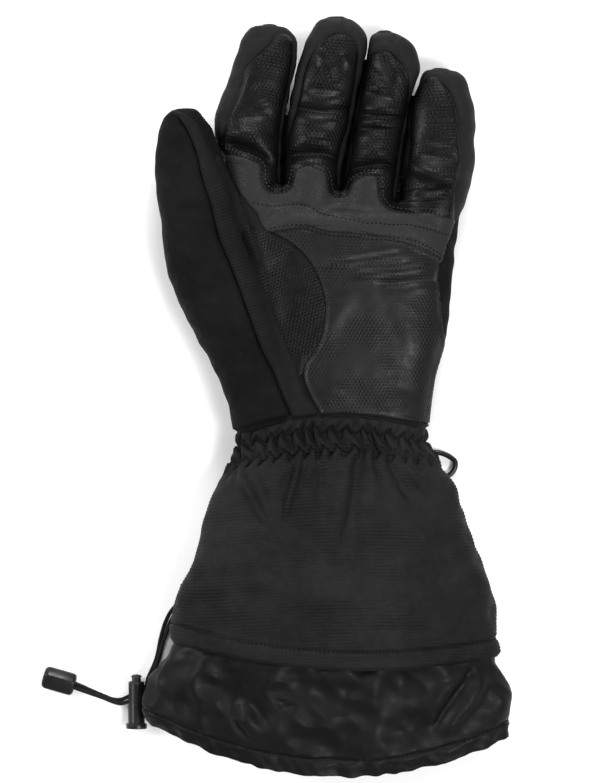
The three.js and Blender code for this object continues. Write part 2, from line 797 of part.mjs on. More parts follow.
/** The lock's housing, bored for its plunger and slotted for the two strands. */
function lockBarrel() {
  const housing = turned(
    [
      [0, LOCK.bottom],
      [LOCK.flangeRadius, LOCK.bottom],
      [LOCK.flangeRadius, LOCK.bottom + LOCK.flangeLength],
      [LOCK.radius - LOCK.waist, LOCK.bottom + LOCK.flangeLength + LOCK.shoulder],
      [LOCK.radius, LOCK.top - LOCK.chamfer],
      [LOCK.radius - LOCK.chamfer, LOCK.top],
      [0, LOCK.top],
    ],
    LOCK.sides,
    LOCK.x,
    LOCK.z,
  );
  const bore = turned(
    [
      [0, LOCK.bottom + LOCK.flangeLength],
      [LOCK.bore, LOCK.bottom + LOCK.flangeLength],
      [LOCK.bore, LOCK.top + CLEAR],
      [0, LOCK.top + CLEAR],
    ],
    LOCK.sides,
    LOCK.x,
    LOCK.z,
  );
  const slot = block(
    [LOCK.x - CLEAR, LOCK.slotBottom, LOCK.z - LOCK.slotHeight / 2],
    [LOCK.x + CLEAR, LOCK.slotTop, LOCK.z + LOCK.slotHeight / 2],
  );
  return housing.subtract(bore).subtract(slot);
}

/** The lock's plunger, with an eye for the two strands. */
function lockPlunger() {
  const stem = turned(
    [
      [0, PLUNGER.bottom],
      [PLUNGER.radius, PLUNGER.bottom],
      [PLUNGER.radius, PLUNGER.top - PLUNGER.dome],
      [PLUNGER.radius - PLUNGER.dome, PLUNGER.top],
      [0, PLUNGER.top],
    ],
    PLUNGER.sides,
    LOCK.x,
    LOCK.z,
  );
  const eye = block(
    [LOCK.x - CLEAR, LOCK.slotBottom - PLUNGER.play, LOCK.z - LOCK.slotHeight / 2],
    [LOCK.x + CLEAR, LOCK.slotTop + PLUNGER.pressed, LOCK.z + LOCK.slotHeight / 2],
  );
  return stem.subtract(eye);
}

addPiece("cord_lock_barrel", geometryOf(lockBarrel()), "plastic");
addPiece("cord_lock_plunger", geometryOf(lockPlunger()), "plastic");

/** The moulded block that holds the far ends of both strands. */
function cordEnd() {
  const { length, width, height, taper, edge } = CORD_END;
  const profile = new THREE.Shape();
  profile.moveTo(-length / 2, -width / 2 + taper);
  profile.lineTo(-length / 2 + 2 * taper, -width / 2);
  profile.lineTo(length / 2 - taper, -width / 2);
  profile.lineTo(length / 2, -width / 2 + taper);
  profile.lineTo(length / 2, width / 2 - taper);
  profile.lineTo(length / 2 - taper, width / 2);
  profile.lineTo(-length / 2 + 2 * taper, width / 2);
  profile.lineTo(-length / 2, width / 2 - taper);
  const geometry = new THREE.ExtrudeGeometry(profile, {
    depth: height - 2 * edge,
    bevelEnabled: true,
    bevelSegments: 1,
    bevelSize: edge,
    bevelOffset: -edge,
    bevelThickness: edge,
  });
  geometry.translate(0, 0, edge);
  geometry.rotateZ(THREE.MathUtils.degToRad(CORD_END.turn));
  return geometry.translate(CORD_END.x, CORD_END.y, CORD_END.low);
}

addPiece("cord_end", cordEnd(), "plastic");

/** The sewn tab that the draw cord comes out of. */
function cordTab() {
  const { x, y, width, length, thickness, low } = CORD_TAB;
  return block([x - width / 2, y - length / 2, low], [x + width / 2, y + length / 2, low + thickness]);
}

addPiece("cord_tab", geometryOf(cordTab()), "ottoman");

/** The clip's five-cornered ring. */
function clipRing() {
  const corners = CLIP_CORNERS.map(([x, y]) => new THREE.Vector3(x, y, CLIP.z));
  const path = new THREE.CatmullRomCurve3(corners, true, "catmullrom", 0.35);
  return new THREE.ExtrudeGeometry(polygon(CLIP.bar / 2, CLIP.sides), { steps: CLIP.steps, extrudePath: path });
}

/** Webbing round the ring's hidden bar, sewn to the gauntlet's side. */
function clipLoop() {
  const { hole, webbing } = CLIP_LOOP;
  const band = squareShape(hole + webbing);
  band.holes.push(squareShape(hole));
  const geometry = new THREE.ExtrudeGeometry(band, { depth: CLIP_LOOP.width, bevelEnabled: false });
  geometry.translate(0, 0, -CLIP_LOOP.width / 2);
  geometry.rotateX(Math.PI / 2);
  geometry.rotateZ(THREE.MathUtils.degToRad(CLIP_LOOP.turn));
  return geometry.translate(CLIP_LOOP.x, CLIP_LOOP.y, CLIP.z);
}

addPiece("clip_ring", clipRing(), "plastic");
addPiece("clip_loop", clipLoop(), "ottoman");

export default glove;
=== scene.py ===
"""Left-hand snowmobile glove, palm up on a pale floor, in leather, softshell and ribbed cloth."""

import logging
import math
from dataclasses import dataclass, field
from enum import Enum
from typing import Iterable, NamedTuple, Sequence

import bmesh
import bpy
import numpy as np
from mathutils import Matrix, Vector
from mathutils.bvhtree import BVHTree
from mathutils.geometry import delaunay_2d_cdt


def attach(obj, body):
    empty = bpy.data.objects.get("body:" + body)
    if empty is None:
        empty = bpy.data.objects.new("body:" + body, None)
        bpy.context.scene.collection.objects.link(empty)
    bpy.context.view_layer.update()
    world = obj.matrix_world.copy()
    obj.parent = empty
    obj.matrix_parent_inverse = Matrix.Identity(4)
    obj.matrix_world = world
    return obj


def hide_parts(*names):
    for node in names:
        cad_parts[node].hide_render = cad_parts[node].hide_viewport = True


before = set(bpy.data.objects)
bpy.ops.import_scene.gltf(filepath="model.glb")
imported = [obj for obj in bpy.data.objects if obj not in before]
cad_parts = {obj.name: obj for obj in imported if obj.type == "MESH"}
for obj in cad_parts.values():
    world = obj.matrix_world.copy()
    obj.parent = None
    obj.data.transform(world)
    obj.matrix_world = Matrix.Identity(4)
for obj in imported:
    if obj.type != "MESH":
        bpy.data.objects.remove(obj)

MM = 0.001
LOG = logging.getLogger("glove")


class Slot(Enum):
    """The record's material slots."""

    SOFTSHELL = "softshell"
    LEATHER = "leather"
    PALM_LEATHER = "palm_leather"
    STRETCH_RIB = "stretch_rib"
    OTTOMAN = "ottoman"
    NYLON = "nylon"
    BRAID = "braid"
    PLASTIC = "plastic"


class Surface(Enum):
    """What a finish shows from close by."""

    PITTED = "pitted leather"
    GRAINED = "grained leather"
    WOVEN = "woven cloth"
    MOULDED = "moulded plastic"
    TWISTED = "twisted thread"


class Section(NamedTuple):
    """One section across the hand, in millimetres."""

    y: float
    left: float
    right: float
    low: float
    high: float
    sink: float


class CuffRow(NamedTuple):
    """One row round a cuff, in millimetres."""

    left: float
    right: float
    left_y: float
    right_y: float
    sag: float
    low: float
    high: float
    sink: float


class Fold(NamedTuple):
    """A soft ridge, or a valley where its height is below zero, along a line on the glove."""

    height: float
    width: float
    line: tuple[tuple[float, float], ...]
    steep: float = 1.0


# How square the sections are, where 2 would be an ellipse.
SQUARENESS = 2.5
# Distance between staggered rows, as a share of the spacing along them.
STAGGER = 0.87
# The least length that anything is divided by.
TINY = 1e-9
# Where rays that fall on the glove start, in metres, and their way.
RAY_START = 0.2
DOWN = Vector((0, 0, -1))

# The hand's forms, from the fingertips to the wrist.
FINGERS: dict[str, list[Section]] = {
    "index": [
        Section(186, -33, -25.5, 15, 21, 0),
        Section(184.5, -39, -20, 11, 25, 0),
        Section(179, -43.3, -16, 8, 29.5, 0),
        Section(172, -45.5, -15.5, 6, 31.5, 1),
        Section(151, -53, -19.6, 2, 33, 2),
        Section(139, -57, -21.4, 0.5, 33, 3),
        Section(128, -56, -22.9, 0, 34, 4),
        Section(116, -51.5, -23.5, 0, 35, 4),
        Section(104, -49.5, -23.4, 0, 35, 4),
        Section(90.5, -48, -19, 0, 34, 4),
        Section(78, -44, -19, 0, 31, 4),
        Section(64, -38, -20, 0, 24, 4),
    ],
    "middle": [
        Section(190, -1, 9, 14, 20.5, 0),
        Section(188.5, -4.5, 13, 11, 24.5, 0),
        Section(181, -9.5, 19.4, 7.5, 30, 0),
        Section(175, -12, 19.5, 6.5, 31.5, 1),
        Section(166, -15, 17.8, 5, 33, 1),
        Section(142, -20, 12.8, 1, 34.5, 3),
        Section(128, -21.8, 10.4, 0, 35, 4),
        Section(113, -22.2, 6.6, 0, 36, 4),
        Section(95.5, -21.5, 5.6, 0, 35, 4),
        Section(84, -20, 5, 0, 33, 4),
        Section(72, -18, 3, 0, 26, 4),
    ],
    "ring": [
        Section(183, 24.5, 32, 13, 19, 0),
        Section(181.5, 22, 36, 10.5, 23, 0),
        Section(175, 20.5, 44, 7, 28.5, 0),
        Section(168, 19.3, 46, 6, 30, 1),
        Section(145, 14.5, 40.5, 2.5, 32.5, 2),
        Section(130.5, 11.8, 38.6, 0, 33.5, 4),
        Section(115.5, 9.2, 36.3, 0, 34.5, 4),
        Section(95.5, 7.6, 34.2, 0, 34, 4),
        Section(84, 9, 33, 0, 32.5, 4),
        Section(72, 11, 31, 0, 26, 4),
    ],
    "little": [
        Section(164.3, 52.5, 61.5, 13, 19, 0),
        Section(163, 48.8, 65.5, 10, 22.5, 0),
        Section(160, 46.6, 68.5, 8, 25.5, 0),
        Section(154, 44.4, 71, 6, 28, 1),
        Section(145, 41.6, 73.5, 4, 30, 1),
        Section(130.5, 39.6, 74, 0.5, 31.5, 3),
        Section(115.5, 37.6, 73.5, 0, 33, 4),
        Section(103, 36.4, 71, 0, 33, 4),
        Section(92, 36, 67, 0, 33, 4),
        Section(82, 38, 63, 0, 31, 4),
        Section(70, 40, 59, 0, 25, 4),
    ],
}
PALM = [
    Section(103, -49.5, 71, 0, 11, 4),
    Section(99, -49.2, 69.7, 0, 15, 4),
    Section(95.5, -49, 68.5, 0, 26, 4),
    Section(91, -48.5, 66.5, 0, 36, 5),
    Section(73, -46.5, 64, 0, 38, 5),
    Section(53, -44, 62, 0, 38.5, 5),
    Section(33, -44, 60, 0, 38.5, 5),
    Section(16, -45, 55.5, 0, 37.5, 5),
    Section(-2, -46, 51.5, 0, 36, 5),
    Section(-26, -46, 50, 0, 34, 4),
]
THUMB = [
    Section(144.4, -74.5, -68, 22, 28, 0),
    Section(143, -78.5, -65, 18, 32, 0),
    Section(140, -81.8, -62.8, 15, 35, 0),
    Section(134, -84.4, -58.2, 13, 38, 0),
    Section(128, -85.7, -55.8, 11.5, 39.5, 0),
    Section(118, -86.5, -51.8, 10, 41, 0),
    Section(105.5, -86.3, -48.5, 9, 42, 0),
    Section(90.5, -84, -44.5, 7, 42.5, 0),
    Section(60.5, -80, -33, 3, 42.5, 2),
    Section(45.5, -74, -27, 1, 42, 3),
    Section(30.5, -66.5, -21, 0, 41, 4),
    Section(15.5, -58.3, -15, 0, 39.5, 4),
    Section(0.5, -51.8, -10, 0, 38, 4),
    Section(-26, -46, -4, 0, 34, 4),
]
# The cuffs, from the upper end to the hem.
GAUNTLET = [
    CuffRow(-46, 50.2, -15.6, -13.6, -7.6, 0, 34.6, 4),
    CuffRow(-46.2, 49.8, -19, -17, -3, 0, 35, 4),
    CuffRow(-45.6, 49.4, -23, -22, 0, 0, 34.5, 4),
    CuffRow(-46.5, 51.5, -28, -28, 0, 0, 35, 4),
    CuffRow(-49.5, 55.5, -34, -34, 0, 0, 36, 4),
    CuffRow(-56, 61.5, -46, -46, 0, 0, 38, 4),
    CuffRow(-62.5, 68.5, -62, -62, 1, 0, 40, 5),
    CuffRow(-74, 83, -100, -101, 5, 0, 43.5, 5),
    CuffRow(-78.5, 86, -123.2, -130.2, 9.8, 0, 44, 5),
]
SKIRT = [
    CuffRow(-71.6, 80.4, -101, -103, 5, 3, 40.4, 5),
    CuffRow(-75.6, 83.2, -121, -127, 10, 3, 40.9, 5),
    CuffRow(-78.6, 83.2, -125, -132, 10.5, 2, 40.9, 5),
    CuffRow(-86, 87, -136, -138, 9, 0, 39, 5),
    CuffRow(-91.4, 90.5, -149, -149, 10, 0, 37, 5),
    CuffRow(-92.8, 92, -158, -160, 17, 0, 34, 5),
    CuffRow(-91, 91, -163.5, -171.5, 23, 0, 30, 5),
]

# Gaps between the fingers, and how far the dark strips in them reach, seen from above. The strips are black
# cloth darkened further with painted shade of the deep gaps.
SLOTS: dict[str, list[tuple[float, float]]] = {
    "index_middle": [
        (-13, 192), (-13.8, 176), (-16, 165), (-18.9, 152), (-20.9, 140), (-22.6, 126), (-22.9, 98),
    ],
    "middle_ring": [
        (20.2, 192), (20, 177), (18.5, 167), (16.4, 155), (13.8, 144), (11, 130), (9.2, 114), (8.9, 98),
    ],
    "ring_little": [
        (48, 192), (47, 170), (45.2, 160), (42.6, 150), (41, 145), (39.1, 130.5), (37, 115.5),
        (35.6, 98),
    ],
}
STRIP_ENDS = {"index_middle": (99.0, 142.0), "middle_ring": (97.0, 170.0), "ring_little": (112.0, 152.0)}
# Where two fingers part.
CROTCHES = [(-22.9, 104.2), (6.3, 102.0), (34.5, 95.8)]
# Where the thumb ends on the upper and on the lower side.
THUMB_SEAM = [
    (-74, 190), (-74, 138), (-66, 127), (-60, 115), (-54, 99), (-49, 79), (-40, 54), (-28, 27),
    (-19, 4), (-12, -14), (-8, -40),
]
THUMB_SPLIT = [
    (-58.5, 190), (-57, 132), (-51.5, 118), (-49.5, 104), (-47, 88), (-45.5, 70), (-45, 40),
    (-47, 10), (-48, -40),
]

# Middle line of the two strands with their roll in degrees: 0 side by side, 90 one above the other.
CORD_ROUTE = [
    (-71.4, -104.8, 4.2, 0),
    (-74.8, -106.0, 4.0, 0),
    (-78.0, -109.2, 3.2, 0),
    (-80.6, -113.9, 2.2, 5),
    (-82.4, -119.0, 1.9, 20),
    (-84.0, -124.2, 2.2, 45),
    (-85.3, -129.9, 2.4, 60),
    (-86.9, -135.2, 2.8, 60),
    (-88.6, -139.6, 3.4, 45),
    (-89.9, -143.4, 4.2, 25),
    (-90.7, -147.2, 4.9, 8),
    (-92.6, -149.8, 5.3, 0),
    (-95.4, -150.4, 5.3, 0),
    (-98.2, -151.9, 5.3, 0),
    (-101.4, -153.4, 5.0, 15),
    (-104.6, -154.4, 4.0, 40),
    (-108.6, -153.9, 2.9, 65),
    (-113.0, -152.2, 2.4, 70),
    (-118.5, -150.1, 2.4, 60),
    (-123.5, -148.1, 2.6, 45),
    (-128.0, -146.3, 3.2, 35),
]

# Folds of the leather over fingers and palm, seen from above. steep narrows a fold's right-hand side.
HAND_FOLDS = [
    # index finger: the deep fold above the palm and the bulges beside it
    Fold(-3.6, 2.3, ((-54, 127), (-46, 125.5), (-38, 123), (-30, 117), (-27, 112))),
    Fold(1.5, 3.0, ((-52, 132.5), (-43, 131.5), (-34, 129.5), (-27, 127.5))),
    Fold(1.0, 2.2, ((-51, 121), (-44, 119), (-36, 114.5))),
    Fold(-1.3, 2.6, ((-49, 139), (-38, 140), (-26, 141.5))),
    Fold(0.9, 1.6, ((-38, 144), (-32, 146), (-26, 147))),
    Fold(-0.8, 3.2, ((-42, 150), (-33, 153), (-23, 154))),
    # middle finger
    Fold(-3.0, 2.9, ((-27, 118), (-17, 120), (-9, 121), (-2, 120.6), (5, 117.5), (12, 115))),
    Fold(1.3, 3.0, ((-18, 127), (-8, 128), (5, 126.5))),
    Fold(-2.0, 2.3, ((-24, 144.5), (-10, 143), (-2, 142), (6, 142.8), (20, 146.5))),
    Fold(0.7, 2.8, ((-24, 139), (-14, 138), (-4, 136.5), (16, 138.5))),
    Fold(0.6, 2.8, ((-22, 149), (-10, 149), (-2, 148.5), (18, 150))),
    Fold(-1.7, 2.6, ((-13, 154), (-4, 153), (9, 152.5))),
    Fold(-1.9, 2.6, ((-7, 174), (-2, 169), (2, 163), (5, 156))),
    Fold(0.9, 2.4, ((-7, 167), (-4, 160))),
    Fold(1.0, 2.6, ((4, 172), (9, 168), (11, 163))),
    # ring finger
    Fold(1.0, 2.1, ((6, 145.5), (14, 144.8), (22, 143.8), (30, 143.2), (45, 141.5))),
    Fold(-1.3, 1.9, ((6, 141.6), (16, 140.6), (26, 139.6), (45, 137.5))),
    Fold(1.1, 1.5, ((14, 137), (24, 136.2), (34, 134.8))),
    Fold(-1.7, 2.3, ((5, 131), (14, 132.6), (22, 133.4), (30, 132.6), (44, 128.5))),
    Fold(-1.7, 2.8, ((15, 152), (24, 150.5), (37, 149))),
    Fold(-1.9, 2.8, ((17, 166), (22, 162), (27, 158), (32, 155))),
    Fold(0.9, 2.6, ((28, 168), (33, 164), (37, 156))),
    Fold(0.8, 2.6, ((20, 156), (25, 153.5), (30, 154))),
    Fold(-3.2, 2.8, ((3, 109.5), (12, 112.8), (20, 114.8), (28, 115.3), (36, 113), (43, 110))),
    Fold(1.3, 3.4, ((13, 121), (23, 122), (34, 121))),
    # little finger
    Fold(-2.0, 2.8, ((43, 122), (54, 119.5), (67, 118))),
    Fold(2.7, 3.4, ((35, 116.5), (46, 113), (54, 110), (62, 108), (74, 105.5))),
    Fold(-1.5, 2.2, ((43, 102.5), (50, 102), (57, 103.5), (64, 104.5))),
    Fold(0.8, 1.4, ((40, 99), (48, 103.5), (56, 106))),
    Fold(-1.0, 3.6, ((44, 128), (54, 127), (66, 126))),
    # palm below the patch
    Fold(1.1, 2.4, ((-6, 64.5), (8, 66), (24, 68.5), (44, 71.5))),
    Fold(1.2, 2.4, ((8, 60), (20, 60.5), (35, 61.5), (44, 63), (56, 65))),
    Fold(-1.3, 2.8, ((22, 55.6), (38, 56.2), (46, 57), (57, 57.5))),
    Fold(0.8, 1.8, ((38, 53.5), (48, 54), (56, 53.5))),
    Fold(1.0, 4.5, ((-6, 4), (3, 3), (14, -1))),
    Fold(1.0, 4.5, ((22, -1), (32, -3), (44, 1))),
    Fold(-1.3, 14, ((2, 38), (20, 30), (40, 34))),
]


# The strip's seam on the thumb's side, from the tip down.
STRIP_SEAM = [
    (-79, 140.5), (-75.8, 139.5), (-71.7, 134.8), (-68.5, 129), (-66.5, 124), (-64.5, 117.5),
    (-63, 110.3), (-60.5, 102), (-58, 94.5), (-56, 85.8), (-53.3, 76.5), (-50, 69), (-43.8, 53),
    (-38.5, 38.3), (-32.2, 21.5), (-27.5, 12.5), (-24.8, 5.5), (-19.5, -7), (-15.5, -16),
]
# The strip's seam, the thumb's soft folds and the seams at the fingertips.
SOFTSHELL_FOLDS = [
    Fold(-1.9, 1.0, tuple(STRIP_SEAM)),
    Fold(-0.9, 3.0, ((-78, 90), (-70, 92.5), (-61, 91))),
    Fold(0.7, 3.0, ((-80, 97), (-71, 99), (-64, 98))),
    Fold(-0.6, 4.0, ((-72, 62), (-64, 60), (-55, 56))),
    Fold(-0.5, 3.0, ((-46, 32), (-42, 20), (-34, 6))),
    Fold(-1.3, 0.8, ((7, 194), (7.2, 188), (6.6, 178))),
    Fold(-1.3, 0.8, ((33.8, 183), (32.4, 178), (30.2, 172))),
    Fold(-0.6, 1.6, ((-40, 176), (-33, 181), (-27, 184))),
    Fold(-0.6, 1.6, ((48, 159), (55, 163), (63, 160))),
    Fold(0.5, 1.8, ((-6, 181), (3, 186), (13, 183))),
]


def ripples(points: np.ndarray, length: float, seed: int, count: int = 9) -> np.ndarray:
    """Soft uneven waves, the sum of a few plain ones in mixed directions.

    Args:
        points: x, y and z in the last column.
        length: the shortest wave's length.
        seed: picks the waves.
        count: how many waves are added up.

    Returns:
        One value for each point, mostly between -1 and 1.
    """
    picker = np.random.default_rng(seed)
    total = np.zeros(points.shape[:-1])
    for _ in range(count):
        way = picker.normal(size=3)
        way /= np.linalg.norm(way)
        wave = length * picker.uniform(1.0, 2.4)
        total += np.sin(points @ way * 2 * np.pi / wave + picker.uniform(0, 6.3))
    return total / math.sqrt(count)


def offset_line(line: np.ndarray, distance: float) -> np.ndarray:
    """A line beside another one, to its left where the distance is above zero.

    Args:
        line: the first line's points.
        distance: how far away the new one runs.

    Returns:
        The new line's points.
    """
    along = np.gradient(line, axis=0)
    along /= np.maximum(np.linalg.norm(along, axis=1, keepdims=True), TINY)
    return line + np.stack([-along[:, 1], along[:, 0]], axis=1) * distance


def smooth_line(points: np.ndarray, spacing: float, closed: bool = False) -> np.ndarray:
    """Rounds a line through its points. A point that is given twice stays a corner.

    Args:
        points: one row for each point, with any number of columns.
        spacing: distance between neighbouring points of the result.
        closed: whether the last point leads back to the first.

    Returns:
        The rounded line's points.
    """
    points = np.asarray(points, dtype=float)
    count = len(points)
    ahead = np.roll(points, -1, axis=0) - points
    lengths = np.linalg.norm(ahead, axis=1)
    rates = np.divide(ahead, lengths[:, None], out=np.zeros_like(ahead), where=lengths[:, None] > TINY)

    def slope(index: int) -> np.ndarray:
        """The line's direction at a point, one-sided at an end or a corner.

        Args:
            index: the point's place in the line.

        Returns:
            The direction.
        """
        before, after = (index - 1) % count, index % count
        at_start = not closed and index == 0
        at_end = not closed and index == count - 1
        if at_start or lengths[before] < TINY:
            return rates[after]
        if at_end or lengths[after] < TINY:
            return rates[before]
        share = lengths[before] / (lengths[before] + lengths[after])
        return rates[before] * (1 - share) + rates[after] * share

    parts = []
    for index in range(count if closed else count - 1):
        length = lengths[index]
        if length < TINY:
            continue
        steps = max(1, int(math.ceil(length / spacing)))
        t = (np.arange(steps) / steps)[:, None]
        start, end = points[index], points[(index + 1) % count]
        following = (index + 1) % count if closed else index + 1
        go, come = slope(index) * length, slope(following) * length
        parts.append(
            (2 * t**3 - 3 * t**2 + 1) * start
            + (t**3 - 2 * t**2 + t) * go
            + (-2 * t**3 + 3 * t**2) * end
            + (t**3 - t**2) * come
        )
    if not closed:
        parts.append(points[-1:])
    return np.concatenate(parts)


def lengths_along(points: np.ndarray) -> np.ndarray:
    """The length along a line up to each of its points."""
    steps = np.linalg.norm(np.diff(points, axis=0), axis=1)
    return np.concatenate([[0], np.cumsum(steps)])


def even_line(points: np.ndarray, count: int) -> np.ndarray:
    """The same line with its points set evenly along it.

    Args:
        points: the line's points.
        count: how many points the result has.

    Returns:
        The evenly spaced points.
    """
    along = lengths_along(points)
    wanted = np.linspace(0, along[-1], count)
    return np.stack([np.interp(wanted, along, points[:, k]) for k in range(points.shape[1])], axis=1)


def smoothstep(value: np.ndarray, low: float, high: float) -> np.ndarray:
    """Goes softly from 0 at low to 1 at high."""
    share = np.clip((value - low) / (high - low), 0, 1)
    return share * share * (3 - 2 * share)


def signed_power(value: np.ndarray, exponent: float) -> np.ndarray:
    """A power that keeps its sign."""
    return np.sign(value) * np.abs(value) ** exponent


def distance_to_segments(x: np.ndarray, y: np.ndarray, line: np.ndarray) -> np.ndarray:
    """Distance from each point to the nearest place of a line of segments.

    Args:
        x: the points' x.
        y: the points' y.
        line: the segments' ends, in order.

    Returns:
        One distance for each point.
    """
    return nearest_on_line(x, y, line)[0]


def nearest_on_line(
    x: np.ndarray,
    y: np.ndarray,
    line: np.ndarray,
) -> tuple[np.ndarray, np.ndarray, np.ndarray]:
    """Where each point lies beside a line of segments.

    Args:
        x: the points' x.
        y: the points' y.
        line: the segments' ends, in order.

    Returns:
        The distance to the line, the length along it and the side, 1 to its left and -1 to its right.
    """
    best, along, side = np.full(x.shape, np.inf), np.zeros(x.shape), np.ones(x.shape)
    start = 0.0
    for (ax, ay), (bx, by) in zip(line[:-1], line[1:]):
        dx, dy = bx - ax, by - ay
        length = max(math.hypot(dx, dy), TINY)
        t = np.clip(((x - ax) * dx + (y - ay) * dy) / length**2, 0, 1)
        far = np.hypot(x - ax - t * dx, y - ay - t * dy)
        nearer = far < best
        best = np.where(nearer, far, best)
        along = np.where(nearer, start + t * length, along)
        side = np.where(nearer, np.sign(dx * (y - ay) - dy * (x - ax)), side)
        start += length
    return best, along, side


def relief(folds: Iterable[Fold], x: np.ndarray, y: np.ndarray) -> np.ndarray:
    """Height that a set of folds adds at each point.

    Args:
        folds: the folds.
        x: the points' x.
        y: the points' y.

    Returns:
        The heights, in millimetres.
    """
    spacing, widths_out, end_share, longest_end = 2.0, 3, 0.45, 9.0
    total = np.zeros(x.shape)
    for fold in folds:
        line = smooth_line(np.array(fold.line), spacing)
        reach = widths_out * fold.width
        near = (x > line[:, 0].min() - reach) & (x < line[:, 0].max() + reach)
        near &= (y > line[:, 1].min() - reach) & (y < line[:, 1].max() + reach)
        if not near.any():
            continue
        distance, along, side = nearest_on_line(x[near], y[near], line)
        length = float(np.linalg.norm(np.diff(line, axis=0), axis=1).sum())
        taper = smoothstep(np.minimum(along, length - along), 0.0, min(end_share * length, longest_end))
        width = np.where(side < 0, fold.width * fold.steep, fold.width)
        total[near] += fold.height * taper * np.exp(-((distance / width) ** 2))
    return total


def new_object(name: str, points: np.ndarray, faces: Sequence[Sequence[int]]) -> bpy.types.Object:
    """A smooth mesh object in the scene.

    Args:
        name: the object's name.
        points: its points, in millimetres.
        faces: its faces.

    Returns:
        The new object.
    """
    mesh = bpy.data.meshes.new(name)
    mesh.from_pydata((np.asarray(points) * MM).tolist(), [], [list(map(int, f)) for f in faces])
    mesh.update()
    mesh.polygons.foreach_set("use_smooth", [True] * len(mesh.polygons))
    thing = bpy.data.objects.new(name, mesh)
    bpy.context.scene.collection.objects.link(thing)
    return thing


def bake_modifiers(thing: bpy.types.Object) -> bpy.types.Object:
    """Turns an object with its modifiers into a plain mesh and returns it.

    Args:
        thing: the object.

    Returns:
        The same object with a plain mesh and no modifiers.
    """
    graph = bpy.context.evaluated_depsgraph_get()
    graph.update()
    evaluated = thing.evaluated_get(graph)
    mesh = bpy.data.meshes.new_from_object(evaluated, preserve_all_data_layers=True, depsgraph=graph)
    thing.modifiers.clear()
    old = thing.data
    thing.data = mesh
    bpy.data.meshes.remove(old)
    return thing


def set_float_attribute(thing: bpy.types.Object, name: str, values: np.ndarray) -> None:
    """Stores one number at each point of a mesh."""
    layer = thing.data.attributes.new(name, "FLOAT", "POINT")
    layer.data.foreach_set("value", np.asarray(values, dtype=np.float32))


def set_uv(thing: bpy.types.Object, uv: np.ndarray) -> None:
    """Lays a UV map, given in millimetres for each point, on a mesh.

    Args:
        thing: the object.
        uv: each point's place on the map.
    """
    mesh = thing.data
    corners = np.empty(len(mesh.loops), dtype=np.int32)
    mesh.loops.foreach_get("vertex_index", corners)
    layer = mesh.uv_layers.new(name="UVMap")
    layer.data.foreach_set("uv", np.asarray(uv, dtype=np.float32)[corners].ravel())


def wall(thing: bpy.types.Object, thickness: float) -> bpy.types.Object:
    """Gives a single-layer mesh a wall behind its face and returns it.

    Args:
        thing: the object.
        thickness: the wall's thickness in millimetres.

    Returns:
        The same object, closed.
    """
    solid = thing.modifiers.new("wall", "SOLIDIFY")
    solid.thickness = thickness * MM
    solid.offset = -1
    solid.use_rim = True
    return bake_modifiers(thing)


def hand_in(
    thing: bpy.types.Object,
    material: bpy.types.Material,
    nodes: Sequence[str] = (),
    body: str = "root",
) -> bpy.types.Object:
    """Gives a finished piece its material and its place in the frame.

    Args:
        thing: the piece.
        material: what it is made of.
        nodes: the frame's nodes that it stands in for.
        body: the body that it rides on.

    Returns:
        The piece.
    """
    thing.data.materials.clear()
    thing.data.materials.append(material)
    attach(thing, body)
    if nodes:
        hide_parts(*nodes)
    triangles = sum(len(p.vertices) - 2 for p in thing.data.polygons) if thing.type == "MESH" else 0
    LOG.info("%s: %d triangles", thing.name, triangles)
    return thing


# Shader groups
def node_group(name: str, inputs: dict[str, float], outputs: Sequence[str]) -> bpy.types.NodeTree:
    """An empty shader group that reads a position.

    Args:
        name: the group's name.
        inputs: its number inputs with their values.
        outputs: its number outputs.

    Returns:
        The group's tree.
    """
    tree = bpy.data.node_groups.new(name, "ShaderNodeTree")
    tree.interface.new_socket("Vector", in_out="INPUT", socket_type="NodeSocketVector")
    for key, value in inputs.items():
        tree.interface.new_socket(key, in_out="INPUT", socket_type="NodeSocketFloat").default_value = value
    for key in outputs:
        tree.interface.new_socket(key, in_out="OUTPUT", socket_type="NodeSocketFloat")
    return tree


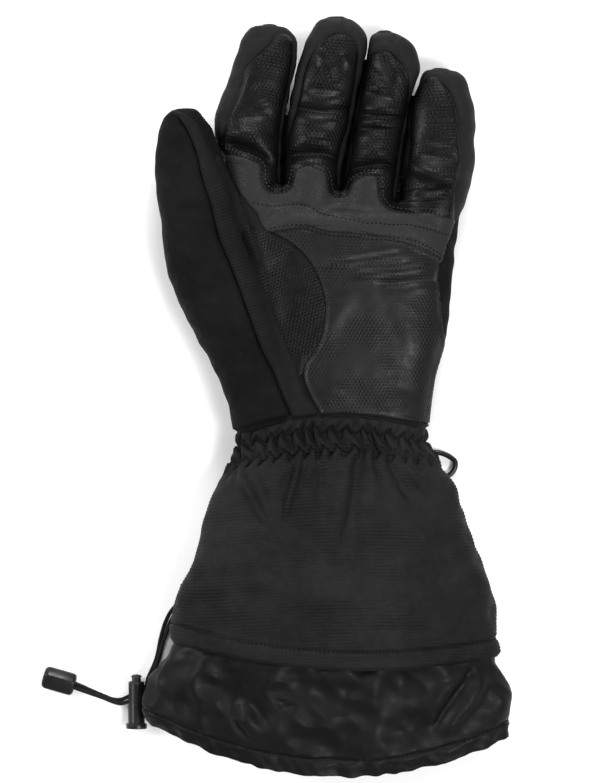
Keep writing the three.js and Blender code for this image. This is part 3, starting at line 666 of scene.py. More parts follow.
class Wiring:
    """Short ways to add and link nodes in one tree."""

    def __init__(self, tree: bpy.types.NodeTree) -> None:
        """Keeps the tree that the nodes go into."""
        self.tree = tree

    def add(self, kind: str, **values: object) -> bpy.types.Node:
        """A new node with some of its properties set.

        Args:
            kind: the node's type.
            values: its properties by name.

        Returns:
            The node.
        """
        node = self.tree.nodes.new(kind)
        for key, value in values.items():
            setattr(node, key, value)
        return node

    def link(self, start: bpy.types.NodeSocket, end: bpy.types.NodeSocket) -> None:
        """Joins an output to an input."""
        self.tree.links.new(start, end)

    def feed(self, socket: bpy.types.NodeSocket, value: object) -> None:
        """Links a socket, or sets its value where a plain number is given.

        Args:
            socket: the input.
            value: an output or a number.
        """
        if isinstance(value, bpy.types.NodeSocket):
            self.link(value, socket)
        else:
            socket.default_value = value

    def math(self, operation: str, *values: object) -> bpy.types.NodeSocket:
        """The result of one Math node.

        Args:
            operation: what it works out.
            values: numbers or sockets that go in.

        Returns:
            The node's output.
        """
        node = self.add("ShaderNodeMath", operation=operation)
        for socket, value in zip(node.inputs, values):
            self.feed(socket, value)
        return node.outputs[0]

    def vector(self, operation: str, *values: object) -> bpy.types.Node:
        """One Vector Math node.

        Args:
            operation: what it works out.
            values: vectors or sockets that go in.

        Returns:
            The node.
        """
        node = self.add("ShaderNodeVectorMath", operation=operation)
        for socket, value in zip(node.inputs, values):
            self.feed(socket, value)
        return node

    def noise(
        self,
        vector: bpy.types.NodeSocket,
        scale: object,
        detail: float = 3,
        rough: float = 0.5,
    ) -> bpy.types.NodeSocket:
        """A noise of numbers about one half.

        Args:
            vector: where it is read.
            scale: its scale, a number or a socket.
            detail: how many octaves it has.
            rough: how strong the finer ones are.

        Returns:
            The noise's output.
        """
        node = self.add("ShaderNodeTexNoise")
        self.link(vector, node.inputs["Vector"])
        self.feed(node.inputs["Scale"], scale)
        node.inputs["Detail"].default_value = detail
        node.inputs["Roughness"].default_value = rough
        return node.outputs["Fac"]

    def scaled(
        self,
        value: bpy.types.NodeSocket,
        low: float,
        high: float,
        to_low: float,
        to_high: float,
    ) -> bpy.types.NodeSocket:
        """Maps one range of numbers softly to another.

        Args:
            value: the number.
            low: the start of its range.
            high: the end of its range.
            to_low: what the start becomes.
            to_high: what the end becomes.

        Returns:
            The mapped number.
        """
        node = self.add("ShaderNodeMapRange", interpolation_type="SMOOTHSTEP")
        self.link(value, node.inputs["Value"])
        for key, number in (("From Min", low), ("From Max", high), ("To Min", to_low), ("To Max", to_high)):
            node.inputs[key].default_value = number
        return node.outputs["Result"]


@dataclass(frozen=True)
class ShaderKit:
    """The groups that the finishes share."""

    pits: bpy.types.NodeTree
    grain: bpy.types.NodeTree
    weave: bpy.types.NodeTree
    wear: bpy.types.NodeTree

    @staticmethod
    def build() -> "ShaderKit":
        """Builds every group once."""
        return ShaderKit(
            pits=ShaderKit.make_pits(),
            grain=ShaderKit.make_grain(),
            weave=ShaderKit.make_weave(),
            wear=ShaderKit.make_wear(),
        )

    @staticmethod
    def make_pits() -> bpy.types.NodeTree:
        """Round pits in staggered rows, a position in millimetres in, a pit mask and a height out.

        Returns:
            The group.
        """
        tree = node_group("pitted_rows", {"Pitch": 1.9, "Size": 0.34}, ["Pit", "Height"])
        w = Wiring(tree)
        start, end = w.add("NodeGroupInput"), w.add("NodeGroupOutput")
        split = w.add("ShaderNodeSeparateXYZ")
        scaled = w.vector("DIVIDE", start.outputs["Vector"])
        combine = w.add("ShaderNodeCombineXYZ")
        for axis in range(3):
            w.link(start.outputs["Pitch"], combine.inputs[axis])
        w.link(combine.outputs[0], scaled.inputs[1])
        w.link(scaled.outputs[0], split.inputs[0])
        down = w.math("DIVIDE", split.outputs[1], STAGGER)
        odd = w.math("MULTIPLY", w.math("FLOORED_MODULO", w.math("FLOOR", down), 2.0), 0.5)
        u = w.math("SUBTRACT", w.math("FRACT", w.math("ADD", split.outputs[0], odd)), 0.5)
        v = w.math("MULTIPLY", w.math("SUBTRACT", w.math("FRACT", down), 0.5), STAGGER)
        far = w.math("SQRT", w.math("ADD", w.math("MULTIPLY", u, u), w.math("MULTIPLY", v, v)))
        soft = w.math("DIVIDE", far, start.outputs["Size"])
        pit = w.scaled(soft, 0.55, 1.25, 1.0, 0.0)
        w.link(pit, end.inputs["Pit"])
        w.link(w.math("SUBTRACT", 1.0, pit), end.inputs["Height"])
        return tree

    @staticmethod
    def make_grain() -> bpy.types.NodeTree:
        """Fine leather grain: small cells with creases between them, and slow changes.

        Returns:
            The group.
        """
        tree = node_group("leather_grain", {"Scale": 900.0, "Slow": 40.0}, ["Height", "Tone"])
        w = Wiring(tree)
        start, end = w.add("NodeGroupInput"), w.add("NodeGroupOutput")
        cells = w.add("ShaderNodeTexVoronoi", feature="DISTANCE_TO_EDGE")
        w.link(start.outputs["Vector"], cells.inputs["Vector"])
        w.link(start.outputs["Scale"], cells.inputs["Scale"])
        crease = w.scaled(cells.outputs["Distance"], 0.0, 0.3, 0.0, 1.0)
        slow = w.noise(start.outputs["Vector"], start.outputs["Slow"], 4)
        w.link(w.math("ADD", crease, w.math("MULTIPLY", slow, 1.5)), end.inputs["Height"])
        w.link(slow, end.inputs["Tone"])
        return tree

    @staticmethod
    def make_weave() -> bpy.types.NodeTree:
        """A fine plain weave, seen along the three axes at once, with some fuzz.

        Returns:
            The group.
        """
        tree = node_group("cloth_weave", {"Scale": 2600.0, "Fuzz": 900.0}, ["Height", "Tone"])
        w = Wiring(tree)
        start, end = w.add("NodeGroupInput"), w.add("NodeGroupOutput")
        split = w.add("ShaderNodeSeparateXYZ")
        w.link(start.outputs["Vector"], split.inputs[0])
        scaled = [w.math("MULTIPLY", split.outputs[k], start.outputs["Scale"]) for k in range(3)]
        waves = [w.math("SINE", value) for value in scaled]
        cross = w.math("MULTIPLY", waves[0], waves[1])
        cross = w.math("ADD", cross, w.math("MULTIPLY", waves[1], waves[2]))
        fuzz = w.noise(start.outputs["Vector"], start.outputs["Fuzz"], 3, 0.6)
        w.link(w.math("ADD", w.math("MULTIPLY", cross, 0.35), fuzz), end.inputs["Height"])
        w.link(fuzz, end.inputs["Tone"])
        return tree

    @staticmethod
    def make_wear() -> bpy.types.NodeTree:
        """Slow changes of shade and gloss over a surface.

        Returns:
            The group.
        """
        tree = node_group("use_marks", {"Scale": 25.0}, ["Shade", "Gloss"])
        w = Wiring(tree)
        start, end = w.add("NodeGroupInput"), w.add("NodeGroupOutput")
        slow = w.noise(start.outputs["Vector"], start.outputs["Scale"], 5, 0.6)
        quick = w.noise(start.outputs["Vector"], w.math("MULTIPLY", start.outputs["Scale"], 9.0), 4, 0.6)
        w.link(w.scaled(slow, 0.3, 0.7, 0.0, 1.0), end.inputs["Shade"])
        w.link(w.scaled(quick, 0.3, 0.7, 0.0, 1.0), end.inputs["Gloss"])
        return tree


@dataclass(frozen=True)
class Finish:
    """One finish of the glove: colour, gloss and what shows from close by."""

    name: str
    dark: tuple[float, float, float]
    light: tuple[float, float, float]
    surface: Surface
    roughness: float = 0.6
    roughness_spread: float = 0.12
    specular: float = 0.5
    bump: float = 0.5
    depth: float = 0.2
    scale: float = 900.0
    pitch: float = 1.9
    pit_size: float = 0.36
    # How dark the pits are painted: painted shade in their hollows.
    pit_shade_tone: float = 0.35
    pit_least: float = 0.25
    pit_shine: float = 0.6
    grain_share: float = 0.14

    def build(self, kit: ShaderKit) -> bpy.types.Material:
        """Builds the material.

        Args:
            kit: the groups that the finishes share.

        Returns:
            The material.
        """
        material = bpy.data.materials.new(self.name)
        material.use_nodes = True
        tree = material.node_tree
        tree.nodes.clear()
        w = Wiring(tree)
        out = w.add("ShaderNodeOutputMaterial")
        shader = w.add("ShaderNodeBsdfPrincipled")
        w.link(shader.outputs[0], out.inputs["Surface"])
        place = w.add("ShaderNodeTexCoord")
        wear = w.add("ShaderNodeGroup", node_tree=kit.wear)
        w.link(place.outputs["Object"], wear.inputs["Vector"])
        colour = w.add("ShaderNodeMix", data_type="RGBA")
        colour.inputs["A"].default_value = (*self.dark, 1)
        colour.inputs["B"].default_value = (*self.light, 1)
        height, tone = self.detail(w, kit, place)
        worn = w.math("MULTIPLY", wear.outputs["Shade"], 0.5)
        share = w.math("ADD", worn, w.math("MULTIPLY", tone, 0.5))
        w.link(share, colour.inputs["Factor"])
        # The base colour carries painted shade in the pits.
        w.link(self.pit_shaded_colour(w, colour.outputs["Result"]), shader.inputs["Base Color"])
        low, high = self.roughness - self.roughness_spread, self.roughness + self.roughness_spread
        w.link(w.scaled(wear.outputs["Gloss"], 0, 1, low, high), shader.inputs["Roughness"])
        shader.inputs["Specular IOR Level"].default_value = self.specular
        self.dull_pits(w, shader)
        bump = w.add("ShaderNodeBump")
        bump.inputs["Strength"].default_value = self.bump
        bump.inputs["Distance"].default_value = self.depth * MM
        w.link(height, bump.inputs["Height"])
        w.link(bump.outputs[0], shader.inputs["Normal"])
        return material

    def detail(
        self,
        w: Wiring,
        kit: ShaderKit,
        place: bpy.types.Node,
    ) -> tuple[bpy.types.NodeSocket, bpy.types.NodeSocket]:
        """The height and the tone of what shows from close by.

        Args:
            w: the material's wiring.
            kit: the groups that the finishes share.
            place: the texture coordinates.

        Returns:
            The height and the tone.
        """
        if self.surface in (Surface.PITTED, Surface.GRAINED):
            grain = w.add("ShaderNodeGroup", node_tree=kit.grain)
            grain.inputs["Scale"].default_value = self.scale
            w.link(place.outputs["Object"], grain.inputs["Vector"])
            if self.surface is Surface.GRAINED:
                return grain.outputs["Height"], grain.outputs["Tone"]
            pits = w.add("ShaderNodeGroup", node_tree=kit.pits, name="pits")
            pits.inputs["Pitch"].default_value = self.pitch
            pits.inputs["Size"].default_value = self.pit_size
            w.link(place.outputs["UV"], pits.inputs["Vector"])
            spots = w.scaled(w.noise(place.outputs["Object"], 70.0, 2), 0.4, 0.62, self.pit_least, 1.0)
            spots.node.name = "spots"
            depth = w.math("MULTIPLY", pits.outputs["Height"], spots)
            total = w.math("ADD", w.math("MULTIPLY", grain.outputs["Height"], self.grain_share), depth)
            return total, grain.outputs["Tone"]
        weave = w.add("ShaderNodeGroup", node_tree=kit.weave)
        weave.inputs["Scale"].default_value = self.scale
        w.link(place.outputs["Object"], weave.inputs["Vector"])
        return weave.outputs["Height"], weave.outputs["Tone"]

    def pit_shaded_colour(self, w: Wiring, colour: bpy.types.NodeSocket) -> bpy.types.NodeSocket:
        """Paints shade into the pits, darkening them where the finish has them.

        Args:
            w: the material's wiring.
            colour: the finish's colour.

        Returns:
            The colour, with painted shade in the pits.
        """
        pits = w.tree.nodes.get("pits")
        if pits is None:
            return colour
        pit_shade_mix = w.add("ShaderNodeMix", data_type="RGBA", blend_type="MULTIPLY")
        pit_shade_mix.inputs["B"].default_value = (self.pit_shade_tone, self.pit_shade_tone, self.pit_shade_tone, 1)
        spots = w.tree.nodes["spots"].outputs["Result"]
        w.link(w.math("MULTIPLY", pits.outputs["Pit"], spots), pit_shade_mix.inputs["Factor"])
        w.link(colour, pit_shade_mix.inputs["A"])
        return pit_shade_mix.outputs["Result"]

    def dull_pits(self, w: Wiring, shader: bpy.types.Node) -> None:
        """Takes the shine out of the pits, where the finish has them.

        Args:
            w: the material's wiring.
            shader: its Principled BSDF.
        """
        pits = w.tree.nodes.get("pits")
        if pits is None:
            return
        spots = w.tree.nodes["spots"].outputs["Result"]
        mask = w.math("MULTIPLY", pits.outputs["Pit"], spots)
        dull = self.specular * self.pit_shine
        w.link(w.scaled(mask, 0.0, 1.0, self.specular, dull), shader.inputs["Specular IOR Level"])


def grey(value: float, blue: float = 1.05) -> tuple[float, float, float]:
    """A neutral colour with a little blue."""
    return (value, value, value * blue)


SOFTSHELL = Finish(
    "softshell", grey(0.0015), grey(0.0062), Surface.WOVEN,
    roughness=0.78, roughness_spread=0.07, specular=0.06, bump=0.55, depth=0.16, scale=5200,
)
# A lighter copy of the softshell for the finger shells: painted light, the fingertips shown as if lit from
# the top.
FINGER_CLOTH_PAINTED_LIGHT = Finish(
    "finger_cloth", grey(0.0045), grey(0.0105), Surface.WOVEN,
    roughness=0.72, roughness_spread=0.07, specular=0.1, bump=0.5, depth=0.16, scale=5200,
)
# Black cloth of the strips between the fingers, made darker still: partly its own colour, partly painted
# shade of the deep gaps.
STRIP_CLOTH_AND_SHADE = Finish(
    "strip_cloth", grey(0.0012), grey(0.0022), Surface.WOVEN,
    roughness=0.85, roughness_spread=0.05, specular=0.02, bump=0.25, depth=0.1, scale=5200,
)
LEATHER = Finish(
    "leather", grey(0.0046), grey(0.0076), Surface.PITTED,
    roughness=0.43, roughness_spread=0.06, specular=0.135, bump=0.55, depth=0.2, scale=700,
    pitch=1.85, pit_shade_tone=0.7, pit_least=0.08,
)
# A darker copy of the leather for the fingers and the thumb's gusset: painted shade, as if these faces were
# turned away from the light.
FINGER_LEATHER_PAINTED_SHADE = Finish(
    "finger_leather", grey(0.0013), grey(0.0031), Surface.PITTED,
    roughness=0.4, roughness_spread=0.06, specular=0.125, bump=0.7, depth=0.22, scale=700,
    pitch=1.85, pit_shade_tone=0.6, pit_least=0.25,
)
PALM_LEATHER = Finish(
    "palm_leather", grey(0.009), grey(0.0138), Surface.GRAINED,
    roughness=0.52, roughness_spread=0.08, specular=0.14, bump=0.5, depth=0.16, scale=800,
)
STRETCH_RIB = Finish(
    "stretch_rib", grey(0.003), grey(0.007), Surface.WOVEN,
    roughness=0.75, roughness_spread=0.06, specular=0.09, bump=0.3, depth=0.12, scale=4200,
)
OTTOMAN = Finish(
    "ottoman", grey(0.0014), grey(0.0115), Surface.WOVEN,
    roughness=0.66, roughness_spread=0.07, specular=0.09, bump=0.6, depth=0.18, scale=4600,
)
NYLON = Finish(
    "nylon", grey(0.0016), grey(0.0056), Surface.WOVEN,
    roughness=0.5, roughness_spread=0.08, specular=0.1, bump=0.3, depth=0.12, scale=5200,
)
BRAID = Finish(
    "braid", grey(0.003), grey(0.006), Surface.TWISTED,
    roughness=0.7, roughness_spread=0.08, specular=0.12, bump=0.3, depth=0.1, scale=6000,
)
PLASTIC = Finish(
    "plastic", grey(0.004), grey(0.006), Surface.MOULDED,
    roughness=0.34, roughness_spread=0.06, specular=0.26, bump=0.12, depth=0.06, scale=3000,
)
THREAD = Finish(
    "thread", grey(0.0015), grey(0.003), Surface.TWISTED,
    roughness=0.6, roughness_spread=0.08, specular=0.08, bump=0.3, depth=0.06, scale=9000,
)
LIGHT_THREAD = Finish(
    "light_thread", grey(0.012), grey(0.022), Surface.TWISTED,
    roughness=0.5, roughness_spread=0.08, specular=0.24, bump=0.3, depth=0.06, scale=9000,
)


FINISHES = (
    SOFTSHELL,
    FINGER_CLOTH_PAINTED_LIGHT,
    STRIP_CLOTH_AND_SHADE,
    LEATHER,
    FINGER_LEATHER_PAINTED_SHADE,
    PALM_LEATHER,
    STRETCH_RIB,
    OTTOMAN,
    NYLON,
    BRAID,
    PLASTIC,
    THREAD,
    LIGHT_THREAD,
)


@dataclass(frozen=True)
class Lamp:
    """A soft square light that faces the glove, with sizes in metres and power in watts."""

    name: str
    place: tuple[float, float, float]
    size: float
    power: float


@dataclass(frozen=True)
class Studio:
    """Camera, floor and lights, with sizes in metres."""

    distance: float = 2.5
    picture_height: float = 0.3915
    centre: tuple[float, float] = (-0.014, 0.00225)
    middle_height: float = 0.03
    sensor: float = 36.0
    far_clip: float = 20.0
    floor_half: float = 3.0
    floor_tone: float = 0.86
    floor_roughness: float = 0.9
    floor_specular: float = 0.1
    aim: tuple[float, float, float] = (0, 0, 0.02)
    sky: float = 0.55
    lamps: tuple[Lamp, ...] = (
        Lamp("light_key", (0.75, -0.5, 1.5), 0.6, 26),
        Lamp("light_rim", (-1.1, 0.35, 0.85), 0.5, 14),
        Lamp("light_top", (0.1, 1.5, 1.0), 0.5, 24),
    )

    def camera(self) -> None:
        """The camera straight above the glove."""
        data = bpy.data.cameras.new("camera")
        data.sensor_width = self.sensor
        data.lens = self.sensor * (self.distance - self.middle_height) / self.picture_height
        data.clip_end = self.far_clip
        thing = bpy.data.objects.new("camera", data)
        thing.location = (*self.centre, self.distance)
        bpy.context.scene.collection.objects.link(thing)
        bpy.context.scene.camera = thing

    def floor(self) -> None:
        """A plain pale floor."""
        half = self.floor_half / MM
        corners = np.array([(-half, -half, 0), (half, -half, 0), (half, half, 0), (-half, half, 0)])
        floor = new_object("floor", corners, [(0, 1, 2, 3)])
        material = bpy.data.materials.new("floor")
        material.use_nodes = True
        shader = material.node_tree.nodes["Principled BSDF"]
        shader.inputs["Base Color"].default_value = (*grey(self.floor_tone, blue=1.0), 1)
        shader.inputs["Roughness"].default_value = self.floor_roughness
        shader.inputs["Specular IOR Level"].default_value = self.floor_specular
        floor.data.materials.append(material)

    def light(self, lamp: Lamp) -> None:
        """Adds one light.

        Args:
            lamp: the light's place, size and power.
        """
        data = bpy.data.lights.new(lamp.name, "AREA")
        data.shape = "SQUARE"
        data.size = lamp.size
        data.energy = lamp.power
        thing = bpy.data.objects.new(lamp.name, data)
        thing.location = lamp.place
        towards = Vector(self.aim) - Vector(lamp.place)
        thing.rotation_euler = towards.to_track_quat("-Z", "Y").to_euler()
        bpy.context.scene.collection.objects.link(thing)

    def lights(self) -> None:
        """Plain soft studio light."""
        for lamp in self.lamps:
            self.light(lamp)
        world = bpy.data.worlds.new("world")
        world.use_nodes = True
        background = world.node_tree.nodes["Background"]
        background.inputs["Color"].default_value = (1, 1, 1, 1)
        background.inputs["Strength"].default_value = self.sky
        bpy.context.scene.world = world
        bpy.context.scene.view_settings.view_transform = "Standard"


@dataclass
class HeightField:
    """The glove's upper surface as heights over an even grid seen from above, in millimetres."""

    low_x: float
    low_y: float
    high_x: float
    high_y: float
    step: float = 0.5
    edge_rounds: int = 16
    edge_drop: float = 1.0
    steepest: float = 3.0
    most_lean: float = 2.5
    grid: np.ndarray = field(default_factory=lambda: np.zeros((0, 0)))
    across: np.ndarray = field(default_factory=lambda: np.zeros((0, 0)))

    def axes(self) -> tuple[np.ndarray, np.ndarray]:
        """The grid's x and y.

        Returns:
            Two arrays, a row for each y.
        """
        x = np.arange(self.low_x, self.high_x + self.step / 2, self.step)
        y = np.arange(self.low_y, self.high_y + self.step / 2, self.step)
        return np.meshgrid(x, y)

    def cast(self, tree: BVHTree) -> None:
        """Reads the heights off a surface from above and fills what lies beside it.

        Args:
            tree: the surface.
        """
        xs, ys = self.axes()
        heights = np.full(xs.shape, np.nan)
        for (row, column), x in np.ndenumerate(xs):
            hit = tree.ray_cast(Vector((x * MM, ys[row, column] * MM, RAY_START)), DOWN)
            if hit[0] is not None:
                heights[row, column] = hit[0].z / MM
        self.grid = self.filled(heights)
        self.measure()

    def filled(self, heights: np.ndarray) -> np.ndarray:
        """Continues the surface a little past its edge.

        Args:
            heights: the heights, not a number beside the surface.

        Returns:
            The heights with the surface's edge grown outward, and 0 beyond it.
        """
        rows, columns = heights.shape
        for _ in range(self.edge_rounds):
            empty = np.isnan(heights)
            if not empty.any():
                break
            padded = np.pad(heights, 1, constant_values=np.nan)
            beside = ((1, 2), (1, 0), (2, 1), (0, 1))
            stack = np.stack([padded[i : i + rows, j : j + columns] for i, j in beside])
            known = ~np.isnan(stack)
            count = known.sum(axis=0)
            mean = np.where(known, stack, 0).sum(axis=0) / np.maximum(count, 1)
            grow = empty & (count > 0)
            heights = np.where(grow, mean - self.edge_drop, heights)
        return np.where(np.isnan(heights), 0, heights)

    def soften(self, rounds: int) -> None:
        """Evens out the heights.

        Args:
            rounds: how many times each height is mixed with its neighbours.
        """
        for _ in range(rounds):
            p = np.pad(self.grid, 1, mode="edge")
            self.grid = (4 * self.grid + p[:-2, 1:-1] + p[2:, 1:-1] + p[1:-1, :-2] + p[1:-1, 2:]) / 8
        self.measure()

    def fill_valleys(self, share: np.ndarray, rounds: int) -> None:
        """Raises narrow valleys towards a much softer copy of the surface.

        Args:
            share: how much of the rise each place takes, from 0 to 1.
            rounds: how soft the copy is.
        """
        kept = self.grid
        self.soften(rounds)
        self.grid = kept + share * np.maximum(self.grid - kept, 0)
        self.measure()

    def measure(self) -> None:
        """Works out the length along the surface across the glove, for patterns that follow it."""
        slope = np.gradient(self.grid, self.step, axis=1)
        lengths = np.sqrt(1 + np.clip(slope, -self.steepest, self.steepest) ** 2) * self.step
        total = np.cumsum(lengths, axis=1)
        middle = total.shape[1] // 2
        self.across = total - total[:, middle : middle + 1]

    def sample(self, x: np.ndarray, y: np.ndarray, grid: np.ndarray | None = None) -> np.ndarray:
        """Reads the heights, or another grid, at any points.

        Args:
            x: the points' x.
            y: the points' y.
            grid: what is read in place of the heights.

        Returns:
            One value for each point.
        """
        source = self.grid if grid is None else grid
        u = np.clip((x - self.low_x) / self.step, 0, source.shape[1] - 1.001)
        v = np.clip((y - self.low_y) / self.step, 0, source.shape[0] - 1.001)
        i, j = np.floor(u).astype(int), np.floor(v).astype(int)
        a, b = u - i, v - j
        return (
            source[j, i] * (1 - a) * (1 - b)
            + source[j, i + 1] * a * (1 - b)
            + source[j + 1, i] * (1 - a) * b
            + source[j + 1, i + 1] * a * b
        )

    def normals(self, x: np.ndarray, y: np.ndarray) -> np.ndarray:
        """The surface's directions at any points.

        Args:
            x: the points' x.
            y: the points' y.

        Returns:
            One direction for each point.
        """
        reach, most = self.step, self.most_lean
        dx = (self.sample(x + reach, y) - self.sample(x - reach, y)) / (2 * reach)
        dy = (self.sample(x, y + reach) - self.sample(x, y - reach)) / (2 * reach)
        normals = np.stack([-np.clip(dx, -most, most), -np.clip(dy, -most, most), np.ones_like(dx)], axis=-1)
        return normals / np.linalg.norm(normals, axis=-1, keepdims=True)


def squared_circle(sides: int) -> tuple[np.ndarray, np.ndarray]:
    """Places round a ring that lies between a circle and a square.

    Args:
        sides: points round the ring.

    Returns:
        Each point's place across and up, from -1 to 1.
    """
    turn = 2 * np.pi * np.arange(sides) / sides
    return signed_power(np.cos(turn), 2 / SQUARENESS), signed_power(np.sin(turn), 2 / SQUARENESS)


def section_rings(table: np.ndarray, sides: int) -> np.ndarray:
    """Rounded rings from a table of sections.

    Args:
        table: columns y, left, right, low, high and sink.
        sides: points round each ring.

    Returns:
        An array of rows, sides and x, y, z.
    """
    across, up = squared_circle(sides)
    y, left, right, low, high, sink = (table[:, k : k + 1] for k in range(6))
    base = low - sink
    x = (left + right) / 2 + (right - left) / 2 * across
    z = np.maximum((high + base) / 2 + (high - base) / 2 * up, low)
    return np.stack([x, np.broadcast_to(y, x.shape), z], axis=-1)


def loft_faces(rows: int, sides: int, caps: bool, hemward: bool = False) -> list[list[int]]:
    """Faces between rings.

    Args:
        rows: how many rings there are.
        sides: points round each ring.
        caps: whether both ends are closed. Without caps the last ring leads back to the first.
        hemward: whether the rings run towards the hem, so that the faces are turned round.

    Returns:
        The faces, outward.
    """
    faces = []
    for k in range(rows - 1 if caps else rows):
        start, end = k * sides, (k + 1) % rows * sides
        for i in range(sides):
            j = (i + 1) % sides
            faces.append([start + i, end + i, end + j, start + j])
    if caps:
        last = (rows - 1) * sides
        faces.append(list(range(sides)))
        faces.append([last + i for i in reversed(range(sides))])
    if hemward:
        faces = [face[::-1] for face in faces]
    return faces


def grid_faces(rows: int, columns: int) -> list[list[int]]:
    """Four-cornered faces of an open sheet whose points run row by row.

    Args:
        rows: how many rows of points there are.
        columns: points in each row.

    Returns:
        The faces.
    """
    starts = [k * columns + i for k in range(rows - 1) for i in range(columns - 1)]
    return [[a, a + columns, a + columns + 1, a + 1] for a in starts]


@dataclass
class Panel:
    """A piece of leather or cloth sewn over the hand, with its outline seen from above."""

    name: str
    node: str
    slot: Slot
    finish: Finish
    outline: list[tuple[float, float]]
    lift: float = 0.9
    tuck: float = 0.5
    rounding: float = 0.9
    spacing: float = 0.8
    wall: float = 1.1
    turn: float = 0.0
    puff: float = 0.0
    padding: float | None = None
    grow: float = 0.0
    rim: float = 0.0
    grooves: list[list[tuple[float, float]]] = field(default_factory=list)
    groove_depth: float = 0.5
    groove_width: float = 0.75
    puff_reach: float = 6.0
    rim_inset: float = 0.9
    rim_width: float = 0.8
    closest: float = 0.05

    def border(self) -> np.ndarray:
        """The rounded outline.

        Returns:
            Its points' x and y.
        """
        line = smooth_line(np.array(self.outline), self.spacing, closed=True)
        keep = np.linalg.norm(line - np.roll(line, 1, axis=0), axis=1) > self.closest
        line = line[keep]
        if self.grow:
            along = np.roll(line, -1, axis=0) - np.roll(line, 1, axis=0)
            along /= np.maximum(np.linalg.norm(along, axis=1, keepdims=True), TINY)
            x, y = line.T
            area = float((x * np.roll(y, -1) - y * np.roll(x, -1)).sum())
            outward = np.stack([along[:, 1], -along[:, 0]], axis=1) * np.sign(area)
            line = line + outward * self.grow
        return line

    def scatter(self, line: np.ndarray) -> np.ndarray:
        """Points inside the outline, in even rows.

        Args:
            line: the rounded outline.

        Returns:
            The points' x and y.
        """
        low, high = line.min(axis=0), line.max(axis=0)
        step = self.spacing
        rows = []
        for k, y in enumerate(np.arange(low[1], high[1], step * STAGGER)):
            xs = np.arange(low[0] + (k % 2) * step / 2, high[0], step)
            rows.append(np.stack([xs, np.full_like(xs, y)], axis=1))
        points = np.concatenate(rows)
        inside = np.zeros(len(points), dtype=bool)
        for a, b in zip(line, np.roll(line, -1, axis=0)):
            crosses = (a[1] > points[:, 1]) != (b[1] > points[:, 1])
            if not crosses.any():
                continue
            at = a[0] + (points[:, 1] - a[1]) / (b[1] - a[1] + 1e-12) * (b[0] - a[0])
            inside ^= crosses & (points[:, 0] < at)
        points = points[inside]
        ring = np.vstack([line, line[:1]])
        return points[distance_to_segments(points[:, 0], points[:, 1], ring) > step * 0.45]

    def offsets(self, x: np.ndarray, y: np.ndarray, line: np.ndarray) -> np.ndarray:
        """How far the panel stands off the hand at each point.

        Args:
            x: the points' x.
            y: the points' y.
            line: the rounded outline.

        Returns:
            The distances in millimetres.
        """
        ring = np.vstack([line, line[:1]])
        edge = distance_to_segments(x, y, ring)
        rise = -self.tuck + (self.lift + self.tuck) * (1 - np.exp(-edge / self.rounding))
        rise = rise + self.puff * (1 - np.exp(-((edge / self.puff_reach) ** 2)))
        rise = rise + self.rim * np.exp(-(((edge - self.rim_inset) / self.rim_width) ** 2))
        folds = [Fold(-self.groove_depth, self.groove_width, tuple(groove)) for groove in self.grooves]
        return rise + relief(folds, x, y)

    def build(self, field_: HeightField) -> bpy.types.Object:
        """Lays the panel over the hand.

        Args:
            field_: the hand's upper surface.

        Returns:
            The panel, closed, without its material.
        """
        line = self.border()
        inner = self.scatter(line)
        count = len(line)
        everything = np.concatenate([line, inner])
        edges = [(i, (i + 1) % count) for i in range(count)]
        found = delaunay_2d_cdt([Vector(p) for p in everything], edges, [list(range(count))], 1, 1e-6)
        flat = np.array([tuple(p) for p in found[0]])
        x, y = flat[:, 0], flat[:, 1]
        normals = field_.normals(x, y)
        offsets = self.offsets(x, y, line)
        points = np.stack([x, y, field_.sample(x, y)], axis=1) + normals * offsets[:, None]
        faces = [f if self.faces_up(flat, f) else f[::-1] for f in found[2]]
        thing = new_object(self.name, points, faces)
        angle = math.radians(self.turn)
        cos, sin = math.cos(angle), math.sin(angle)
        u = field_.sample(x, y, field_.across)
        set_uv(thing, np.stack([u * cos + y * sin, y * cos - u * sin], axis=1))
        return wall(thing, self.wall)

    @staticmethod
    def faces_up(flat: np.ndarray, face: Sequence[int]) -> bool:
        """Whether a face's corners run anticlockwise seen from above."""
        a, b, c = flat[face[0]], flat[face[1]], flat[face[2]]
        return (b[0] - a[0]) * (c[1] - a[1]) - (b[1] - a[1]) * (c[0] - a[0]) > 0


def seam_valleys() -> list[Fold]:
    """Valleys along the outlines of the finger panels, where leather and cloth are sewn together.

    Returns:
        One valley for each finger.
    """
    every, lowest_y, depth, width = 3, 108, 1.1, 1.1
    valleys = []
    for panel in (INDEX_FRONT, MIDDLE_FRONT, RING_FRONT, LITTLE_FRONT):
        line = panel.border()[::every]
        line = [(float(x), float(y)) for x, y in line if y > lowest_y]
        start = max(range(len(line)), key=lambda k: math.dist(line[k], line[k - 1]))
        valleys.append(Fold(-depth, width, tuple(line[start:] + line[:start])))
    return valleys


def hand_folds() -> list[Fold]:
    """Every fold and seam of the hand."""
    return [*HAND_FOLDS, *SOFTSHELL_FOLDS, *seam_valleys()]


